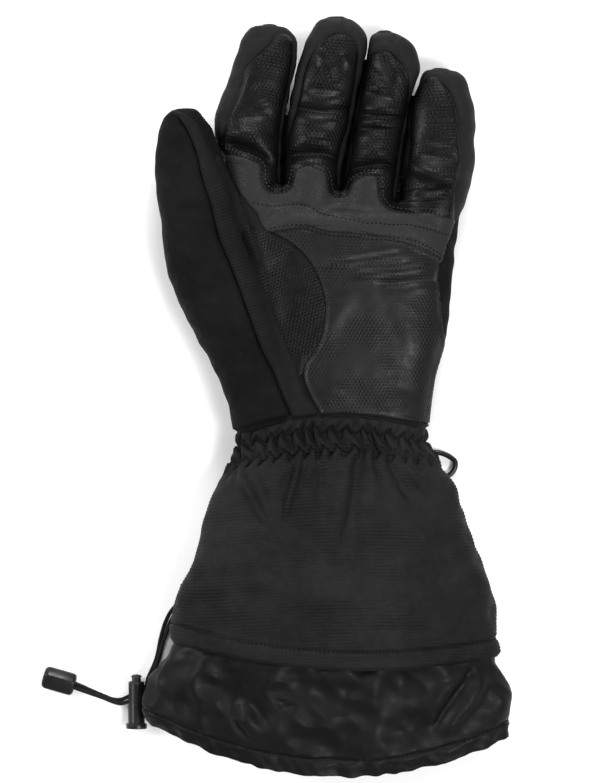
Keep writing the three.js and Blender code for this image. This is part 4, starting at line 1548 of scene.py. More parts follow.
@dataclass
class HandShell:
    """Softshell body of the hand: back, finger backs, thumb and the strips between the fingers."""

    voxel: float = 1.15
    sides: int = 56
    finger_sides: int = 104
    spacing: float = 1.4
    softening: int = 6
    wall: float = 1.8
    wrist_overlap: float = 4.0
    tuck_depth: float = 2.6
    ripple: float = 0.26
    strip_half_width: float = 4.5
    strip_height: float = 17.0
    strip_columns: int = 13
    strip_wall: float = 1.5
    finger_spacing: float = 0.9
    tip_length: float = 0.9
    tip_steps: tuple[float, ...] = (0.3, 0.65, 0.88)
    wrist_middle: float = 2.1
    wrist_half: float = 48.1
    wrist_y: float = -14.6
    wrist_sag: float = 7.6
    wrist_blend: tuple[float, float] = (0.3, 2.6)
    off_floor: float = 0.1
    ripple_length: float = 9.0
    room_softening: int = 5
    valley_rounds: int = 120
    strip_reach: float = 5.0
    strip_blend: tuple[float, float] = (20, 45)
    patch_blend: tuple[float, float] = (66, 76)
    patch_end: tuple[float, float] = (93, 101)
    gap_reach: float = 7.0
    gap_above: float = 1.5
    gap_below: float = 16
    gap_sag: float = 1.0
    gap_sag_more: float = 2.6
    split_height: float = 20
    room: HeightField = field(default_factory=lambda: HeightField(-92, -34, 80, 196))

    def skin(self) -> tuple[np.ndarray, np.ndarray]:
        """One smooth closed skin over palm and thumb.

        Returns:
            The skin's points in millimetres and its four-cornered faces.
        """
        points, faces, start = [], [], 0
        for rows in (PALM, THUMB):
            table = smooth_line(np.array(rows), self.spacing)
            rings = section_rings(table, self.sides)
            ring_faces = loft_faces(len(table), self.sides, True, hemward=True)
            faces += [[start + i for i in face] for face in ring_faces]
            points.append(rings.reshape(-1, 3))
            start += points[-1].shape[0]
        thing = new_object("skin", np.concatenate(points), faces)
        remesh = thing.modifiers.new("one_skin", "REMESH")
        remesh.mode = "VOXEL"
        remesh.voxel_size = self.voxel * MM
        bake_modifiers(thing)
        mesh = thing.data
        result = np.empty(len(mesh.vertices) * 3)
        mesh.vertices.foreach_get("co", result)
        result = result.reshape(-1, 3) / MM
        quads = np.array([tuple(p.vertices) for p in mesh.polygons])
        bpy.data.objects.remove(thing)
        return self.softened(result, quads), quads

    def softened(self, points: np.ndarray, quads: np.ndarray) -> np.ndarray:
        """Evens out the skin's small steps.

        Args:
            points: the skin's points.
            quads: its faces.

        Returns:
            The points, moved.
        """
        kept = 0.4
        starts, ends = quads.ravel(), np.roll(quads, -1, axis=1).ravel()
        count = np.bincount(starts, minlength=len(points)).astype(float)
        for _ in range(self.softening):
            total = np.zeros_like(points)
            np.add.at(total, starts, points[ends])
            points = points * kept + total / np.maximum(count, 1)[:, None] * (1 - kept)
        return points

    def finger(self, rows: Sequence[Section]) -> tuple[np.ndarray, list[list[int]]]:
        """One finger's closed form, with its end rounded off.

        Args:
            rows: the finger's sections.

        Returns:
            Its points in millimetres and its faces.
        """
        table = smooth_line(np.array(rows), self.finger_spacing)
        tip = table[0].copy()
        ends = []
        for share in self.tip_steps:
            end = tip.copy()
            middle_x, middle_z = (tip[1] + tip[2]) / 2, (tip[3] + tip[4]) / 2
            end[0] = tip[0] + self.tip_length * math.sqrt(share)
            end[1:3] = middle_x + (tip[1:3] - middle_x) * math.sqrt(1 - share)
            end[3:5] = middle_z + (tip[3:5] - middle_z) * math.sqrt(1 - share)
            ends.insert(0, end)
        rings = section_rings(np.vstack([*[e[None] for e in ends], table]), self.finger_sides)
        return rings.reshape(-1, 3), loft_faces(len(rings), self.finger_sides, True, hemward=True)

    def wrist_line(self, x: np.ndarray) -> np.ndarray:
        """Where the wrist's seam runs, seen from above."""
        across = (x - self.wrist_middle) / self.wrist_half
        return self.wrist_y + across + self.wrist_sag * (1 - across**2)

    def pressed(self, points: np.ndarray, normals: np.ndarray) -> np.ndarray:
        """Presses the folds into a form and tucks its wrist end under the gauntlet.

        Args:
            points: the form's points.
            normals: its directions.

        Returns:
            The points, moved.
        """
        upper = smoothstep(normals[:, 2], 0.1, 0.55)
        points = points + normals * self.ripple * ripples(points, self.ripple_length, seed=3)[:, None]
        points[:, 2] += relief(hand_folds(), points[:, 0], points[:, 1]) * upper
        points[:, 2] = np.maximum(points[:, 2], self.off_floor)
        under = smoothstep(self.wrist_line(points[:, 0]) - points[:, 1], *self.wrist_blend)
        return points - normals * under[:, None] * self.tuck_depth

    @staticmethod
    def form_normals(points: np.ndarray, faces: Sequence[Sequence[int]]) -> np.ndarray:
        """A form's directions at its points, from its four-cornered faces.

        Args:
            points: the form's points.
            faces: its faces.

        Returns:
            One direction for each point.
        """
        quads = np.array([f for f in faces if len(f) == 4])
        a, b, c, d = (points[quads[:, k]] for k in range(4))
        flat = np.cross(c - a, d - b)
        normals = np.zeros_like(points)
        for k in range(4):
            np.add.at(normals, quads[:, k], flat)
        return normals / np.maximum(np.linalg.norm(normals, axis=1, keepdims=True), TINY)

    def read_surface(self, forms: Sequence[tuple[np.ndarray, Sequence[Sequence[int]]]]) -> None:
        """Reads the upper surface that the panels are laid on.

        Args:
            forms: the points and the faces of every form.
        """
        points, faces, start = [], [], 0
        for form_points, form_faces in forms:
            points += [Vector(p) * MM for p in form_points]
            faces += [[start + int(i) for i in f] for f in form_faces]
            start += len(form_points)
        self.room.cast(BVHTree.FromPolygons(points, faces))
        self.room.soften(self.room_softening)
        xs, ys = self.room.axes()
        self.bridge_gaps(xs, ys)
        strip_edge = distance_to_segments(xs, ys, np.array(ThumbStrip().right))
        beside_strip = np.exp(-((strip_edge / self.strip_reach) ** 2)) * smoothstep(ys, *self.strip_blend)
        under_patch = smoothstep(ys, *self.patch_blend) * (1 - smoothstep(ys, *self.patch_end))
        self.room.fill_valleys(np.maximum(beside_strip, under_patch), self.valley_rounds)
        self.room.grid += relief(hand_folds(), xs, ys)
        self.room.grid -= self.tuck_depth * smoothstep(self.wrist_line(xs) - ys, *self.wrist_blend)
        spots = np.stack([xs, ys, self.room.grid], axis=-1)
        fine, slow = ripples(spots, 5.0, seed=8), ripples(spots, 14.0, seed=4)
        self.room.grid += 0.05 * fine + 0.22 * slow
        self.room.measure()

    def bridge_gaps(self, xs: np.ndarray, ys: np.ndarray) -> None:
        """Lets the leather span the ends of the gaps between the fingers.

        Args:
            xs: the grid's x.
            ys: the grid's y.
        """
        room, reach = self.room, self.gap_reach
        for cx, cy in CROTCHES:
            across = (xs - cx) / reach
            inside = (np.abs(across) < 1) & (ys < cy + self.gap_above) & (ys > cy - self.gap_below)
            x, y, a = xs[inside], ys[inside], across[inside]
            left = room.sample(np.full_like(x, cx - reach), y)
            right = room.sample(np.full_like(x, cx + reach), y)
            sag = (self.gap_sag + self.gap_sag_more * smoothstep(y, cy - 4, cy + 1)) * (1 - a**2)
            room.grid[inside] = np.maximum(room.grid[inside], left + (right - left) * (a + 1) / 2 - sag)

    def split_hand(self, points: np.ndarray, quads: np.ndarray) -> dict[str, np.ndarray]:
        """Sorts the skin's faces into the hand's back and the thumb.

        Args:
            points: the skin's points.
            quads: its faces.

        Returns:
            For each piece's name, which faces it has.
        """
        x, y, z = points[quads].mean(axis=1).T
        used = y < self.wrist_line(x) - self.wrist_overlap
        lower_split = np.interp(-y, [-p[1] for p in THUMB_SPLIT], [p[0] for p in THUMB_SPLIT])
        upper_split = np.interp(-y, [-p[1] for p in THUMB_SEAM], [p[0] for p in THUMB_SEAM])
        thumb = ~used & (x < np.where(z > self.split_height, upper_split, lower_split))
        return {"hand_shell": ~used & ~thumb, "thumb_shell": thumb}

    def strip(
        self,
        name: str,
        gap: Sequence[tuple[float, float]],
        low_y: float,
        high_y: float,
    ) -> bpy.types.Object:
        """The dark strip at the bottom of the gap between two fingers: black cloth, with painted shade of the
        deep gap in its colour.

        Args:
            name: the strip's name.
            gap: the gap's middle line.
            low_y: the strip's end towards the palm.
            high_y: its end towards the fingertips.

        Returns:
            The strip, without its material.
        """
        ys = np.arange(low_y, high_y, 1.0)[::-1]
        centre = np.interp(-ys, [-p[1] for p in gap], [p[0] for p in gap])
        share = np.linspace(-1, 1, self.strip_columns)
        x = centre[:, None] + share[None, :] * self.strip_half_width
        y = np.broadcast_to(ys[:, None], x.shape)
        bowed = share[None, :] ** 2
        z = self.strip_height + 2.5 * bowed + 0.4 * np.sin(ys * 0.9)[:, None] * (1 - bowed)
        points = np.stack([x, y, np.broadcast_to(z, x.shape)], axis=-1).reshape(-1, 3)
        return wall(new_object(name, points, grid_faces(len(ys), len(share))), self.strip_wall)

    def pieces(self, materials: dict[str, bpy.types.Material]) -> None:
        """Builds the shell's pieces and hands them in.

        Args:
            materials: the glove's materials by name.
        """
        cloth = materials["softshell"]
        points, quads = self.skin()
        fingers = {name: self.finger(rows) for name, rows in FINGERS.items()}
        self.read_surface([(points, quads), *fingers.values()])
        points = self.pressed(points, self.form_normals(points, quads))
        nodes = {"hand_shell": "hand_back", "thumb_shell": "thumb_back"}
        for name, chosen in self.split_hand(points, quads).items():
            kept, renumbered = np.unique(quads[chosen], return_inverse=True)
            thing = new_object(name, points[kept], renumbered.reshape(-1, 4))
            hand_in(wall(thing, self.wall), cloth, [nodes[name]])
        for name, (form, faces) in fingers.items():
            form = self.pressed(form, self.form_normals(form, faces))
            thing = new_object(f"{name}_shell", form, faces)
            # The finger shells take the lighter copy of the softshell, painted light on the fingertips.
            hand_in(thing, materials["finger_cloth"], [f"{name}_back"])
        for pair, (low_y, high_y) in STRIP_ENDS.items():
            thing = self.strip(f"strip_{pair}", SLOTS[pair], low_y, high_y)
            # The strips take the black cloth with painted shade of the deep gaps.
            hand_in(thing, materials["strip_cloth"], [f"fourchette_{pair}"])


# Rows of stitches, seen from above, each from its left end to its right end.
PATCH_ROW = [
    (-51.5, 121.5), (-40.5, 118.5), (-34, 115), (-33.5, 109), (-33.2, 106.2), (-31, 103),
    (-28.5, 101.5), (-24.7, 101), (-22.5, 101.2), (-20, 102.5), (-18.2, 104.7), (-17, 107.8),
    (-15.2, 113.5), (-13.2, 114.3), (-9.5, 115), (-5.5, 113.5), (-1.8, 112), (-0.8, 109.5),
    (1, 101.2), (4.5, 99), (9.5, 100.2), (12.2, 105.8), (16, 109), (24.2, 109.5), (25.1, 106.5),
    (25.5, 99.8), (27.8, 95.3), (30, 93.1), (34.5, 91.8), (40.3, 91.3), (45.5, 91.5), (52.3, 91.3),
    (58.1, 89.8), (62.6, 88.2),
]
PATCH_LINE = [
    (-37, 96.3), (-31.6, 95.2), (-28, 94.8), (-19.8, 95.5), (-13.2, 95.4), (-7.5, 93.6),
    (-3.6, 91.1), (1, 90), (10, 88.2), (19, 86.2), (24.5, 86.2), (29.5, 85.5), (39, 85.5),
    (45.5, 84.6), (51.5, 83.3), (59, 80.6),
]
PATCH_LOWER_ROW = [
    (-28.5, 83.6), (-21.5, 84.8), (-15.5, 85.4), (-10, 85), (-5.5, 83.3), (0, 82), (10, 81.5),
    (19, 80.2), (27.8, 79.7), (36.5, 78.6), (42.5, 77.5), (50, 74.5), (56.3, 70.8),
]
PATCH_LAST_ROW = [(x, y - 1.9) for x, y in PATCH_LOWER_ROW]


PALM_PATCH = Panel(
    "palm_patch_leather",
    "palm_patch",
    Slot.PALM_LEATHER,
    PALM_LEATHER,
    [
        (-52.8, 121), (-52.8, 121), (-40.5, 118.5), (-34, 115), (-33.5, 109), (-30.5, 102.8),
        (-25, 101), (-19.5, 103), (-16.6, 109.5), (-15.3, 113.5), (-9.5, 115), (-4, 114.5),
        (-1.5, 112), (-0.6, 106), (0.8, 101.5), (4.5, 99), (9.5, 100.5), (12.2, 106), (16, 109),
        (24.3, 109.5), (24.3, 109.5), (25.5, 99.8), (27.8, 95.3), (31, 93), (34.5, 91.8),
        (40, 91.3), (52.5, 91.3), (58, 89.8), (62.6, 88.2), (62.6, 88.2), (60.4, 80.6),
        (58.2, 74.8), (56, 67), (56, 67), (52, 69.5), (43, 73.5), (27.8, 76.4), (14, 77.7),
        (1, 79), (-7.5, 80.5), (-17, 82.5), (-24, 81.8), (-30, 82.2), (-30, 82.2), (-33.2, 86.5),
        (-35, 91), (-38.5, 95.2), (-43.8, 102.5), (-46.5, 107), (-50, 114),
    ],
    lift=1.5,
    tuck=0.2,
    rounding=0.4,
    puff=0.3,
    padding=0.25,
    grow=0.9,
    grooves=[PATCH_ROW, PATCH_LINE, PATCH_LOWER_ROW, PATCH_LAST_ROW],
)
INDEX_FRONT = Panel(
    "index_front_leather",
    "index_front",
    Slot.LEATHER,
    FINGER_LEATHER_PAINTED_SHADE,
    [
        (-29.5, 175.7), (-25.8, 180.2), (-22.5, 180.8), (-19, 179), (-18.2, 172), (-19, 165),
        (-20.9, 153.5), (-23.2, 144), (-24.6, 134), (-25.2, 120), (-25.4, 109), (-24.8, 105.8),
        (-22.9, 104.2), (-22.9, 104.2), (-22.9, 98), (-22.9, 98), (-29, 99), (-40, 106),
        (-48, 112), (-53, 119.5), (-53, 119.5), (-52.4, 128), (-50.3, 136.8), (-45.5, 148.3),
        (-43, 155), (-41, 162.3), (-36.5, 168.7),
    ],
    lift=0.9,
    grow=1.0,
    turn=-8,
)
MIDDLE_FRONT = Panel(
    "middle_front_leather",
    "middle_front",
    Slot.LEATHER,
    FINGER_LEATHER_PAINTED_SHADE,
    [
        (-4, 175.7), (0.5, 179.5), (6, 181), (11.6, 179), (14.4, 173), (14, 166), (13.2, 159.8),
        (11.6, 150), (10.4, 142), (9, 134), (6.4, 126.5), (4.6, 118), (4.2, 108), (4.8, 103.8),
        (6.3, 102), (6.3, 102), (6.3, 96.5), (6.3, 96.5), (0, 97), (-10, 104), (-22.9, 98),
        (-22.9, 98), (-22.9, 104.2), (-22.9, 104.2), (-21.6, 105.6), (-21.3, 109), (-21, 124.5),
        (-18.2, 134), (-15.6, 142), (-13, 152), (-11.6, 159.8), (-8.2, 169.5),
    ],
    lift=1.0,
    grow=1.0,
    turn=-4,
)
RING_FRONT = Panel(
    "ring_front_leather",
    "ring_front",
    Slot.LEATHER,
    FINGER_LEATHER_PAINTED_SHADE,
    [
        (21.5, 170.2), (25.8, 172.6), (29.8, 172.4), (34, 169), (37.5, 164), (40, 158),
        (40, 152.5), (39, 142), (37, 132.5), (35, 121.5), (33.8, 112), (32.6, 104), (32.8, 98.7),
        (34.5, 95.8), (34.5, 95.8), (34.5, 90), (34.5, 90), (27.5, 92), (15, 99), (6.3, 96.5),
        (6.3, 96.5), (6.3, 102), (6.3, 102), (7.8, 103.8), (8.6, 108), (10.3, 114), (12.2, 121.5),
        (13.4, 132), (15.6, 143.5), (17.6, 153.5), (19, 163),
    ],
    lift=0.9,
    grow=1.0,
    turn=-2,
)
LITTLE_FRONT = Panel(
    "little_front_leather",
    "little_front",
    Slot.LEATHER,
    FINGER_LEATHER_PAINTED_SHADE,
    [
        (48.5, 157.5), (52.7, 159.5), (56, 157.7), (59.5, 153.5), (62.5, 148), (63.9, 141.5),
        (65.3, 127), (66.3, 118.5), (65, 111.5), (63.2, 105), (62.8, 96), (62.5, 86), (62.5, 86),
        (34.5, 88), (34.5, 88), (34.5, 95.8), (34.5, 95.8), (36.2, 98.5), (37.2, 104.5),
        (39.4, 111.5), (40.8, 118.5), (42, 126), (42, 136), (42.6, 145), (44.8, 152),
    ],
    lift=1.0,
    grow=1.0,
    turn=3,
)
PALM_LOWER = Panel(
    "palm_lower_leather",
    "palm_lower",
    Slot.LEATHER,
    LEATHER,
    [
        (-30.5, 82.5), (-30.5, 82.5), (-10, 86), (30, 80), (56.5, 69.5), (56.5, 69.5),
        (55.2, 64.2), (55.7, 49.5), (57, 35.5), (58, 26.5), (56, 19), (53.8, 11.5), (51.7, -1.5),
        (50.3, -14), (50.3, -14), (40, -12.4), (22.8, -9.8), (7.3, -8.7), (-4, -9.2), (-4, -9.2),
        (-9, 0), (-12.6, 10), (-11.6, 16), (-7, 22.5), (-2.2, 35.1), (-1.7, 45.7), (-4.8, 58.3),
        (-11, 68.8), (-20.5, 77.2),
    ],
    lift=1.2,
    tuck=0.3,
    rounding=0.5,
    rim=0.85,
    puff=0.4,
    padding=0.3,
)
THUMB_GUSSET = Panel(
    "thumb_gusset_leather",
    "thumb_gusset",
    Slot.LEATHER,
    FINGER_LEATHER_PAINTED_SHADE,
    [
        (-31, 88), (-18, 78), (-8, 69.5), (-2, 58.3), (1, 45.7), (1, 35.1), (-4, 22.5), (-11, 12),
        (-11, 12), (-15.5, 8), (-15.5, 8), (-22, 22), (-30, 40), (-44, 60), (-49, 72), (-50, 84),
        (-44, 92), (-37, 92),
    ],
    lift=0.5,
    tuck=0.4,
    rounding=1.6,
    puff=0.5,
    turn=20,
)
THUMB_WEB = Panel(
    "thumb_web_rib",
    "thumb_web",
    Slot.STRETCH_RIB,
    STRETCH_RIB,
    [
        (-54.5, 121), (-50, 116), (-42.6, 102.5), (-34, 91), (-28, 82), (-30, 78), (-36, 75.5),
        (-43, 73), (-49, 76), (-53, 98), (-56, 112),
    ],
    lift=0.9,
    tuck=0.0,
    rounding=2.6,
)


@dataclass
class HandPanels:
    """Every panel that lies over the hand's palm side."""

    panels: list[Panel] = field(
        default_factory=lambda: [
            THUMB_WEB,
            THUMB_GUSSET,
            INDEX_FRONT,
            MIDDLE_FRONT,
            RING_FRONT,
            LITTLE_FRONT,
            PALM_LOWER,
            PALM_PATCH,
        ]
    )

    def pieces(self, room: HeightField, materials: dict[str, bpy.types.Material]) -> list[bpy.types.Object]:
        """Builds and hands in the panels.

        Args:
            room: the hand's upper surface.
            materials: the glove's materials by name.

        Returns:
            The panels.
        """
        made = []
        for panel in self.panels:
            thing = panel.build(room)
            material = materials[panel.finish.name]
            made.append(hand_in(thing, material, [panel.node]))
        return made


class ReliefTrees:
    """Geometry node trees for the ribs and the stitches."""

    @staticmethod
    def begin(name: str, numbers: dict[str, float]) -> tuple[Wiring, bpy.types.Node]:
        """An empty tree with its named inputs.

        Args:
            name: the tree's name.
            numbers: its number inputs with their values.

        Returns:
            The tree's wiring and its input node.
        """
        tree = bpy.data.node_groups.new(name, "GeometryNodeTree")
        tree.is_modifier = True
        tree.interface.new_socket("Geometry", in_out="INPUT", socket_type="NodeSocketGeometry")
        for key, value in numbers.items():
            socket = tree.interface.new_socket(key, in_out="INPUT", socket_type="NodeSocketFloat")
            socket.default_value = value
        tree.interface.new_socket("Material", in_out="INPUT", socket_type="NodeSocketMaterial")
        tree.interface.new_socket("Geometry", in_out="OUTPUT", socket_type="NodeSocketGeometry")
        w = Wiring(tree)
        return w, w.add("NodeGroupInput")

    @staticmethod
    def close(w: Wiring, start: bpy.types.Node, geometry: bpy.types.NodeSocket) -> bpy.types.NodeTree:
        """Makes the geometry real, gives it its material and leads it out of the tree.

        Args:
            w: the tree's wiring.
            start: the tree's input node.
            geometry: what the tree has made.

        Returns:
            The finished tree.
        """
        real = w.add("GeometryNodeRealizeInstances")
        paint = w.add("GeometryNodeSetMaterial")
        end = w.add("NodeGroupOutput")
        w.link(geometry, real.inputs[0])
        w.link(real.outputs[0], paint.inputs["Geometry"])
        w.link(start.outputs["Material"], paint.inputs["Material"])
        w.link(paint.outputs[0], end.inputs[0])
        return w.tree

    @staticmethod
    def ribs() -> bpy.types.NodeTree:
        """Ribs that follow a mesh's own "along" values, as strong as its "ribbed" values say.

        Returns:
            The tree.
        """
        roundness = 0.6
        w, start = ReliefTrees.begin("rib_relief", {"Pitch": 2.1, "Height": 0.25})
        along = w.add("GeometryNodeInputNamedAttribute", data_type="FLOAT")
        along.inputs["Name"].default_value = "along"
        strength = w.add("GeometryNodeInputNamedAttribute", data_type="FLOAT")
        strength.inputs["Name"].default_value = "ribbed"
        turns = w.math("DIVIDE", along.outputs[0], start.outputs["Pitch"])
        wave = w.math("ABSOLUTE", w.math("SINE", w.math("MULTIPLY", turns, math.pi)))
        rounded = w.math("POWER", wave, roundness)
        height = w.math("MULTIPLY", w.math("MULTIPLY", rounded, start.outputs["Height"]), strength.outputs[0])
        normal = w.add("GeometryNodeInputNormal")
        push = w.add("ShaderNodeVectorMath", operation="SCALE")
        w.link(normal.outputs[0], push.inputs[0])
        w.link(height, push.inputs["Scale"])
        move = w.add("GeometryNodeSetPosition")
        w.link(start.outputs["Geometry"], move.inputs["Geometry"])
        w.link(push.outputs[0], move.inputs["Offset"])
        return ReliefTrees.close(w, start, move.outputs[0])

    @staticmethod
    def stitches() -> bpy.types.NodeTree:
        """A row of small thread stitches along every line of a mesh.

        Returns:
            The tree.
        """
        w, start = ReliefTrees.begin("stitch_row", {"Pitch": 0.0026, "Length": 0.0019, "Thickness": 0.0006})
        curve = w.add("GeometryNodeMeshToCurve")
        w.link(start.outputs["Geometry"], curve.inputs["Mesh"])
        even = w.add("GeometryNodeResampleCurve", mode="LENGTH")
        w.link(curve.outputs[0], even.inputs["Curve"])
        w.link(start.outputs["Pitch"], even.inputs["Length"])
        tangent = w.add("GeometryNodeInputTangent")
        align = w.add("FunctionNodeAlignRotationToVector", axis="Z")
        w.link(tangent.outputs[0], align.inputs["Vector"])
        ball = w.add("GeometryNodeMeshUVSphere")
        ball.inputs["Segments"].default_value = 6
        ball.inputs["Rings"].default_value = 5
        ball.inputs["Radius"].default_value = 0.5
        size = w.add("ShaderNodeCombineXYZ")
        for axis, key in enumerate(("Thickness", "Thickness", "Length")):
            w.link(start.outputs[key], size.inputs[axis])
        place = w.add("GeometryNodeInstanceOnPoints")
        w.link(even.outputs[0], place.inputs["Points"])
        w.link(ball.outputs["Mesh"], place.inputs["Instance"])
        w.link(align.outputs[0], place.inputs["Rotation"])
        w.link(size.outputs[0], place.inputs["Scale"])
        return ReliefTrees.close(w, start, place.outputs[0])

    @staticmethod
    def apply(thing: bpy.types.Object, tree: bpy.types.NodeTree, **values: object) -> bpy.types.Object:
        """Runs a tree on an object and keeps the plain result.

        Args:
            thing: the object.
            tree: the tree.
            values: the tree's inputs by name.

        Returns:
            The object, with a plain mesh.
        """
        modifier = thing.modifiers.new(tree.name, "NODES")
        modifier.node_group = tree
        names = {item.name: item.identifier for item in tree.interface.items_tree if item.in_out == "INPUT"}
        for key, value in values.items():
            modifier[names[key]] = value
        return bake_modifiers(thing)


@dataclass
class ThumbStrip:
    """The ribbed strip from the thumb's tip down to the wrist."""

    pitch: float = 1.65
    height: float = 0.6
    rows: int = 520
    columns: int = 30
    lift: float = 1.5
    tuck: float = 0.5
    wall: float = 1.2
    seam_spacing: float = 1.0
    left_rounding: float = 0.5
    right_rounding: float = 1.6
    uv_width: float = 15
    left: list[tuple[float, float]] = field(default_factory=lambda: list(STRIP_SEAM))
    right: list[tuple[float, float]] = field(
        default_factory=lambda: [
            (-77, 143.2), (-71, 141), (-64.5, 135.3), (-60.5, 127.5), (-56.5, 119.5), (-53.3, 113),
            (-50.8, 107), (-47.7, 99), (-46.7, 93), (-45, 87), (-43, 80), (-40.5, 74),
            (-36.5, 65.5), (-28, 47), (-25, 38.5), (-20.5, 27), (-14.6, 11.5), (-11.6, 1.5),
            (-4.5, -7), (-1, -16),
        ]
    )

    def piece(
        self,
        room: HeightField,
        tree: bpy.types.NodeTree,
        material: bpy.types.Material,
    ) -> bpy.types.Object:
        """Builds and hands in the strip.

        Args:
            room: the hand's upper surface.
            tree: the ribs' tree.
            material: the strip's cloth.

        Returns:
            The strip.
        """
        left = even_line(smooth_line(np.array(self.left), self.seam_spacing), self.rows)
        right = even_line(smooth_line(np.array(self.right), self.seam_spacing), self.rows)
        share = np.linspace(0, 1, self.columns)[None, :, None]
        flat = left[:, None, :] * (1 - share) + right[:, None, :] * share
        x, y = flat[..., 0], flat[..., 1]
        width = np.linalg.norm(right - left, axis=1)[:, None]
        edge = np.minimum(share[..., 0], 1 - share[..., 0]) * width
        from_left = 1 - np.exp(-share[..., 0] * width / self.left_rounding)
        from_right = 1 - np.exp(-(1 - share[..., 0]) * width / self.right_rounding)
        rise = (self.lift + self.tuck) * from_left * from_right - self.tuck
        points = np.stack([x, y, room.sample(x, y)], axis=-1) + room.normals(x, y) * rise[..., None]
        thing = new_object("thumb_strip_rib", points.reshape(-1, 3), grid_faces(self.rows, self.columns))
        along = lengths_along(flat[:, self.columns // 2])
        shown = 0.45 * smoothstep(along, 6, 16) + 0.55 * smoothstep(along, 34, 50)
        shown = shown * (1 - smoothstep(along, 112, 150))
        ribbed = np.broadcast_to(shown[:, None], x.shape) * smoothstep(edge, 0.3, 1.4)
        across = np.broadcast_to(share[..., 0], x.shape).ravel() * self.uv_width
        down = np.broadcast_to(along[:, None], x.shape).ravel()
        set_float_attribute(thing, "along", down)
        set_float_attribute(thing, "ribbed", ribbed.ravel())
        set_uv(thing, np.stack([across, down], axis=1))
        ReliefTrees.apply(thing, tree, Pitch=self.pitch, Height=self.height * MM, Material=material)
        wall(thing, self.wall)
        return hand_in(thing, material, ["thumb_strip"])


def cuff_rings(rows: Sequence[CuffRow], spacing: float, sides: int, inset: float = 0.0) -> np.ndarray:
    """Smooth rings of a cuff, with their points set evenly round them.

    Args:
        rows: the cuff's table.
        spacing: distance between rings.
        sides: points round a ring.
        inset: how far the rings lie inside the table's own.

    Returns:
        The points as rows, sides and x, y, z.
    """
    table = smooth_line(np.array(rows), spacing)
    across, up = squared_circle(sides)
    left, right, left_y, right_y, sag, low, high, sink = (table[:, k : k + 1] for k in range(8))
    base = low - sink
    x = (left + right) / 2 + ((right - left) / 2 - inset) * across
    z = np.maximum((high + base) / 2 + ((high - base) / 2 - inset) * up, low + inset)
    y = left_y + (right_y - left_y) * (across + 1) / 2 - sag * (1 - across**2)
    rings = np.stack([x, y, z], axis=-1)
    return np.array([even_line(np.vstack([ring, ring[:1]]), sides + 1)[:-1] for ring in rings])


def down_cuff(rings: np.ndarray) -> np.ndarray:
    """Each point's distance from a cuff's upper end, measured down its side."""
    steps = np.linalg.norm(np.diff(rings, axis=0), axis=2)
    return np.vstack([np.zeros((1, rings.shape[1])), np.cumsum(steps, axis=0)])


def groove(value: np.ndarray, middle: float | np.ndarray, width: float) -> np.ndarray:
    """A soft bump that is 1 at its middle and fades out a width away."""
    return np.exp(-(((value - middle) / width) ** 2))


def ring_normals(rings: np.ndarray) -> np.ndarray:
    """Directions out of a set of rings.

    Args:
        rings: the rings' points.

    Returns:
        One direction for each point.
    """
    around = np.roll(rings, -1, axis=1) - np.roll(rings, 1, axis=1)
    down = np.gradient(rings, axis=0)
    normals = np.cross(around, down)
    normals /= np.maximum(np.linalg.norm(normals, axis=-1, keepdims=True), TINY)
    centre = rings.mean(axis=1, keepdims=True)
    turned = np.sign(((rings - centre) * normals).sum(axis=-1).mean())
    return normals * turned


def close_cuff(name: str, outer: np.ndarray, inner: np.ndarray) -> bpy.types.Object:
    """A cuff's wall from its outer and its inner rings.

    Args:
        name: the piece's name.
        outer: rings from the upper end to the hem.
        inner: rings from the upper end to the hem.

    Returns:
        The closed piece.
    """
    loop = np.concatenate([outer, inner[::-1]])
    return new_object(name, loop.reshape(-1, 3), loft_faces(len(loop), outer.shape[1], False, hemward=True))


def hem_ring(outer: np.ndarray, from_hem: np.ndarray, normals: np.ndarray, hem: float) -> np.ndarray:
    """The ring of points on a cuff that lies a hem's width above its lower edge.

    Args:
        outer: the cuff's rings.
        from_hem: each point's distance from the lower edge.
        normals: the cuff's directions.
        hem: the hem's width.

    Returns:
        One point for each side of the cuff, on its surface.
    """
    above_cloth = 0.12
    row = np.abs(from_hem - hem).argmin(axis=0)
    side = np.arange(outer.shape[1])
    return outer[row, side] + normals[row, side] * above_cloth


GAUNTLET_FOLDS = [
    Fold(-3.0, 3.6, ((15, -24), (14.3, -32), (13.2, -44), (11.5, -58), (9.5, -78)), 0.7),
    Fold(1.5, 4.5, ((8, -30), (6, -44), (3, -62), (0, -78))),
    Fold(1.6, 4.5, ((20.5, -28), (21.5, -42), (23, -62))),
    Fold(3.0, 1.7, ((-13.5, -29), (-16, -40), (-19.5, -52), (-23, -64)), 0.7),
    Fold(-2.4, 3.0, ((-19, -33), (-22.5, -46), (-27, -60))),
    Fold(2.55, 2.2, ((-45, -34), (-40, -46), (-34, -58), (-29, -66))),
    Fold(-1.95, 3.2, ((-36, -36), (-33, -48), (-29.5, -58))),
    Fold(1.8, 1.8, ((36, -31), (44, -42), (54, -54))),
    Fold(-1.8, 2.4, ((30, -31), (36, -42), (43, -54))),
    Fold(-1.65, 2.4, ((44, -30), (53, -42), (61, -56))),
    Fold(-1.95, 2.2, ((-3, -31), (-3.5, -40), (-4.5, -52))),
    Fold(1.65, 2.0, ((-8, -30), (-9.5, -38), (-11, -48))),
    Fold(-1.95, 1.8, ((22, -30), (24, -37), (28, -47))),
    Fold(-1.95, 2.2, ((-42, -27), (-48, -35), (-54, -45))),
    Fold(0.9, 5.0, ((-40, -92), (-10, -98), (20, -96))),
    Fold(-0.9, 5.0, ((30, -100), (50, -92), (66, -88))),
]


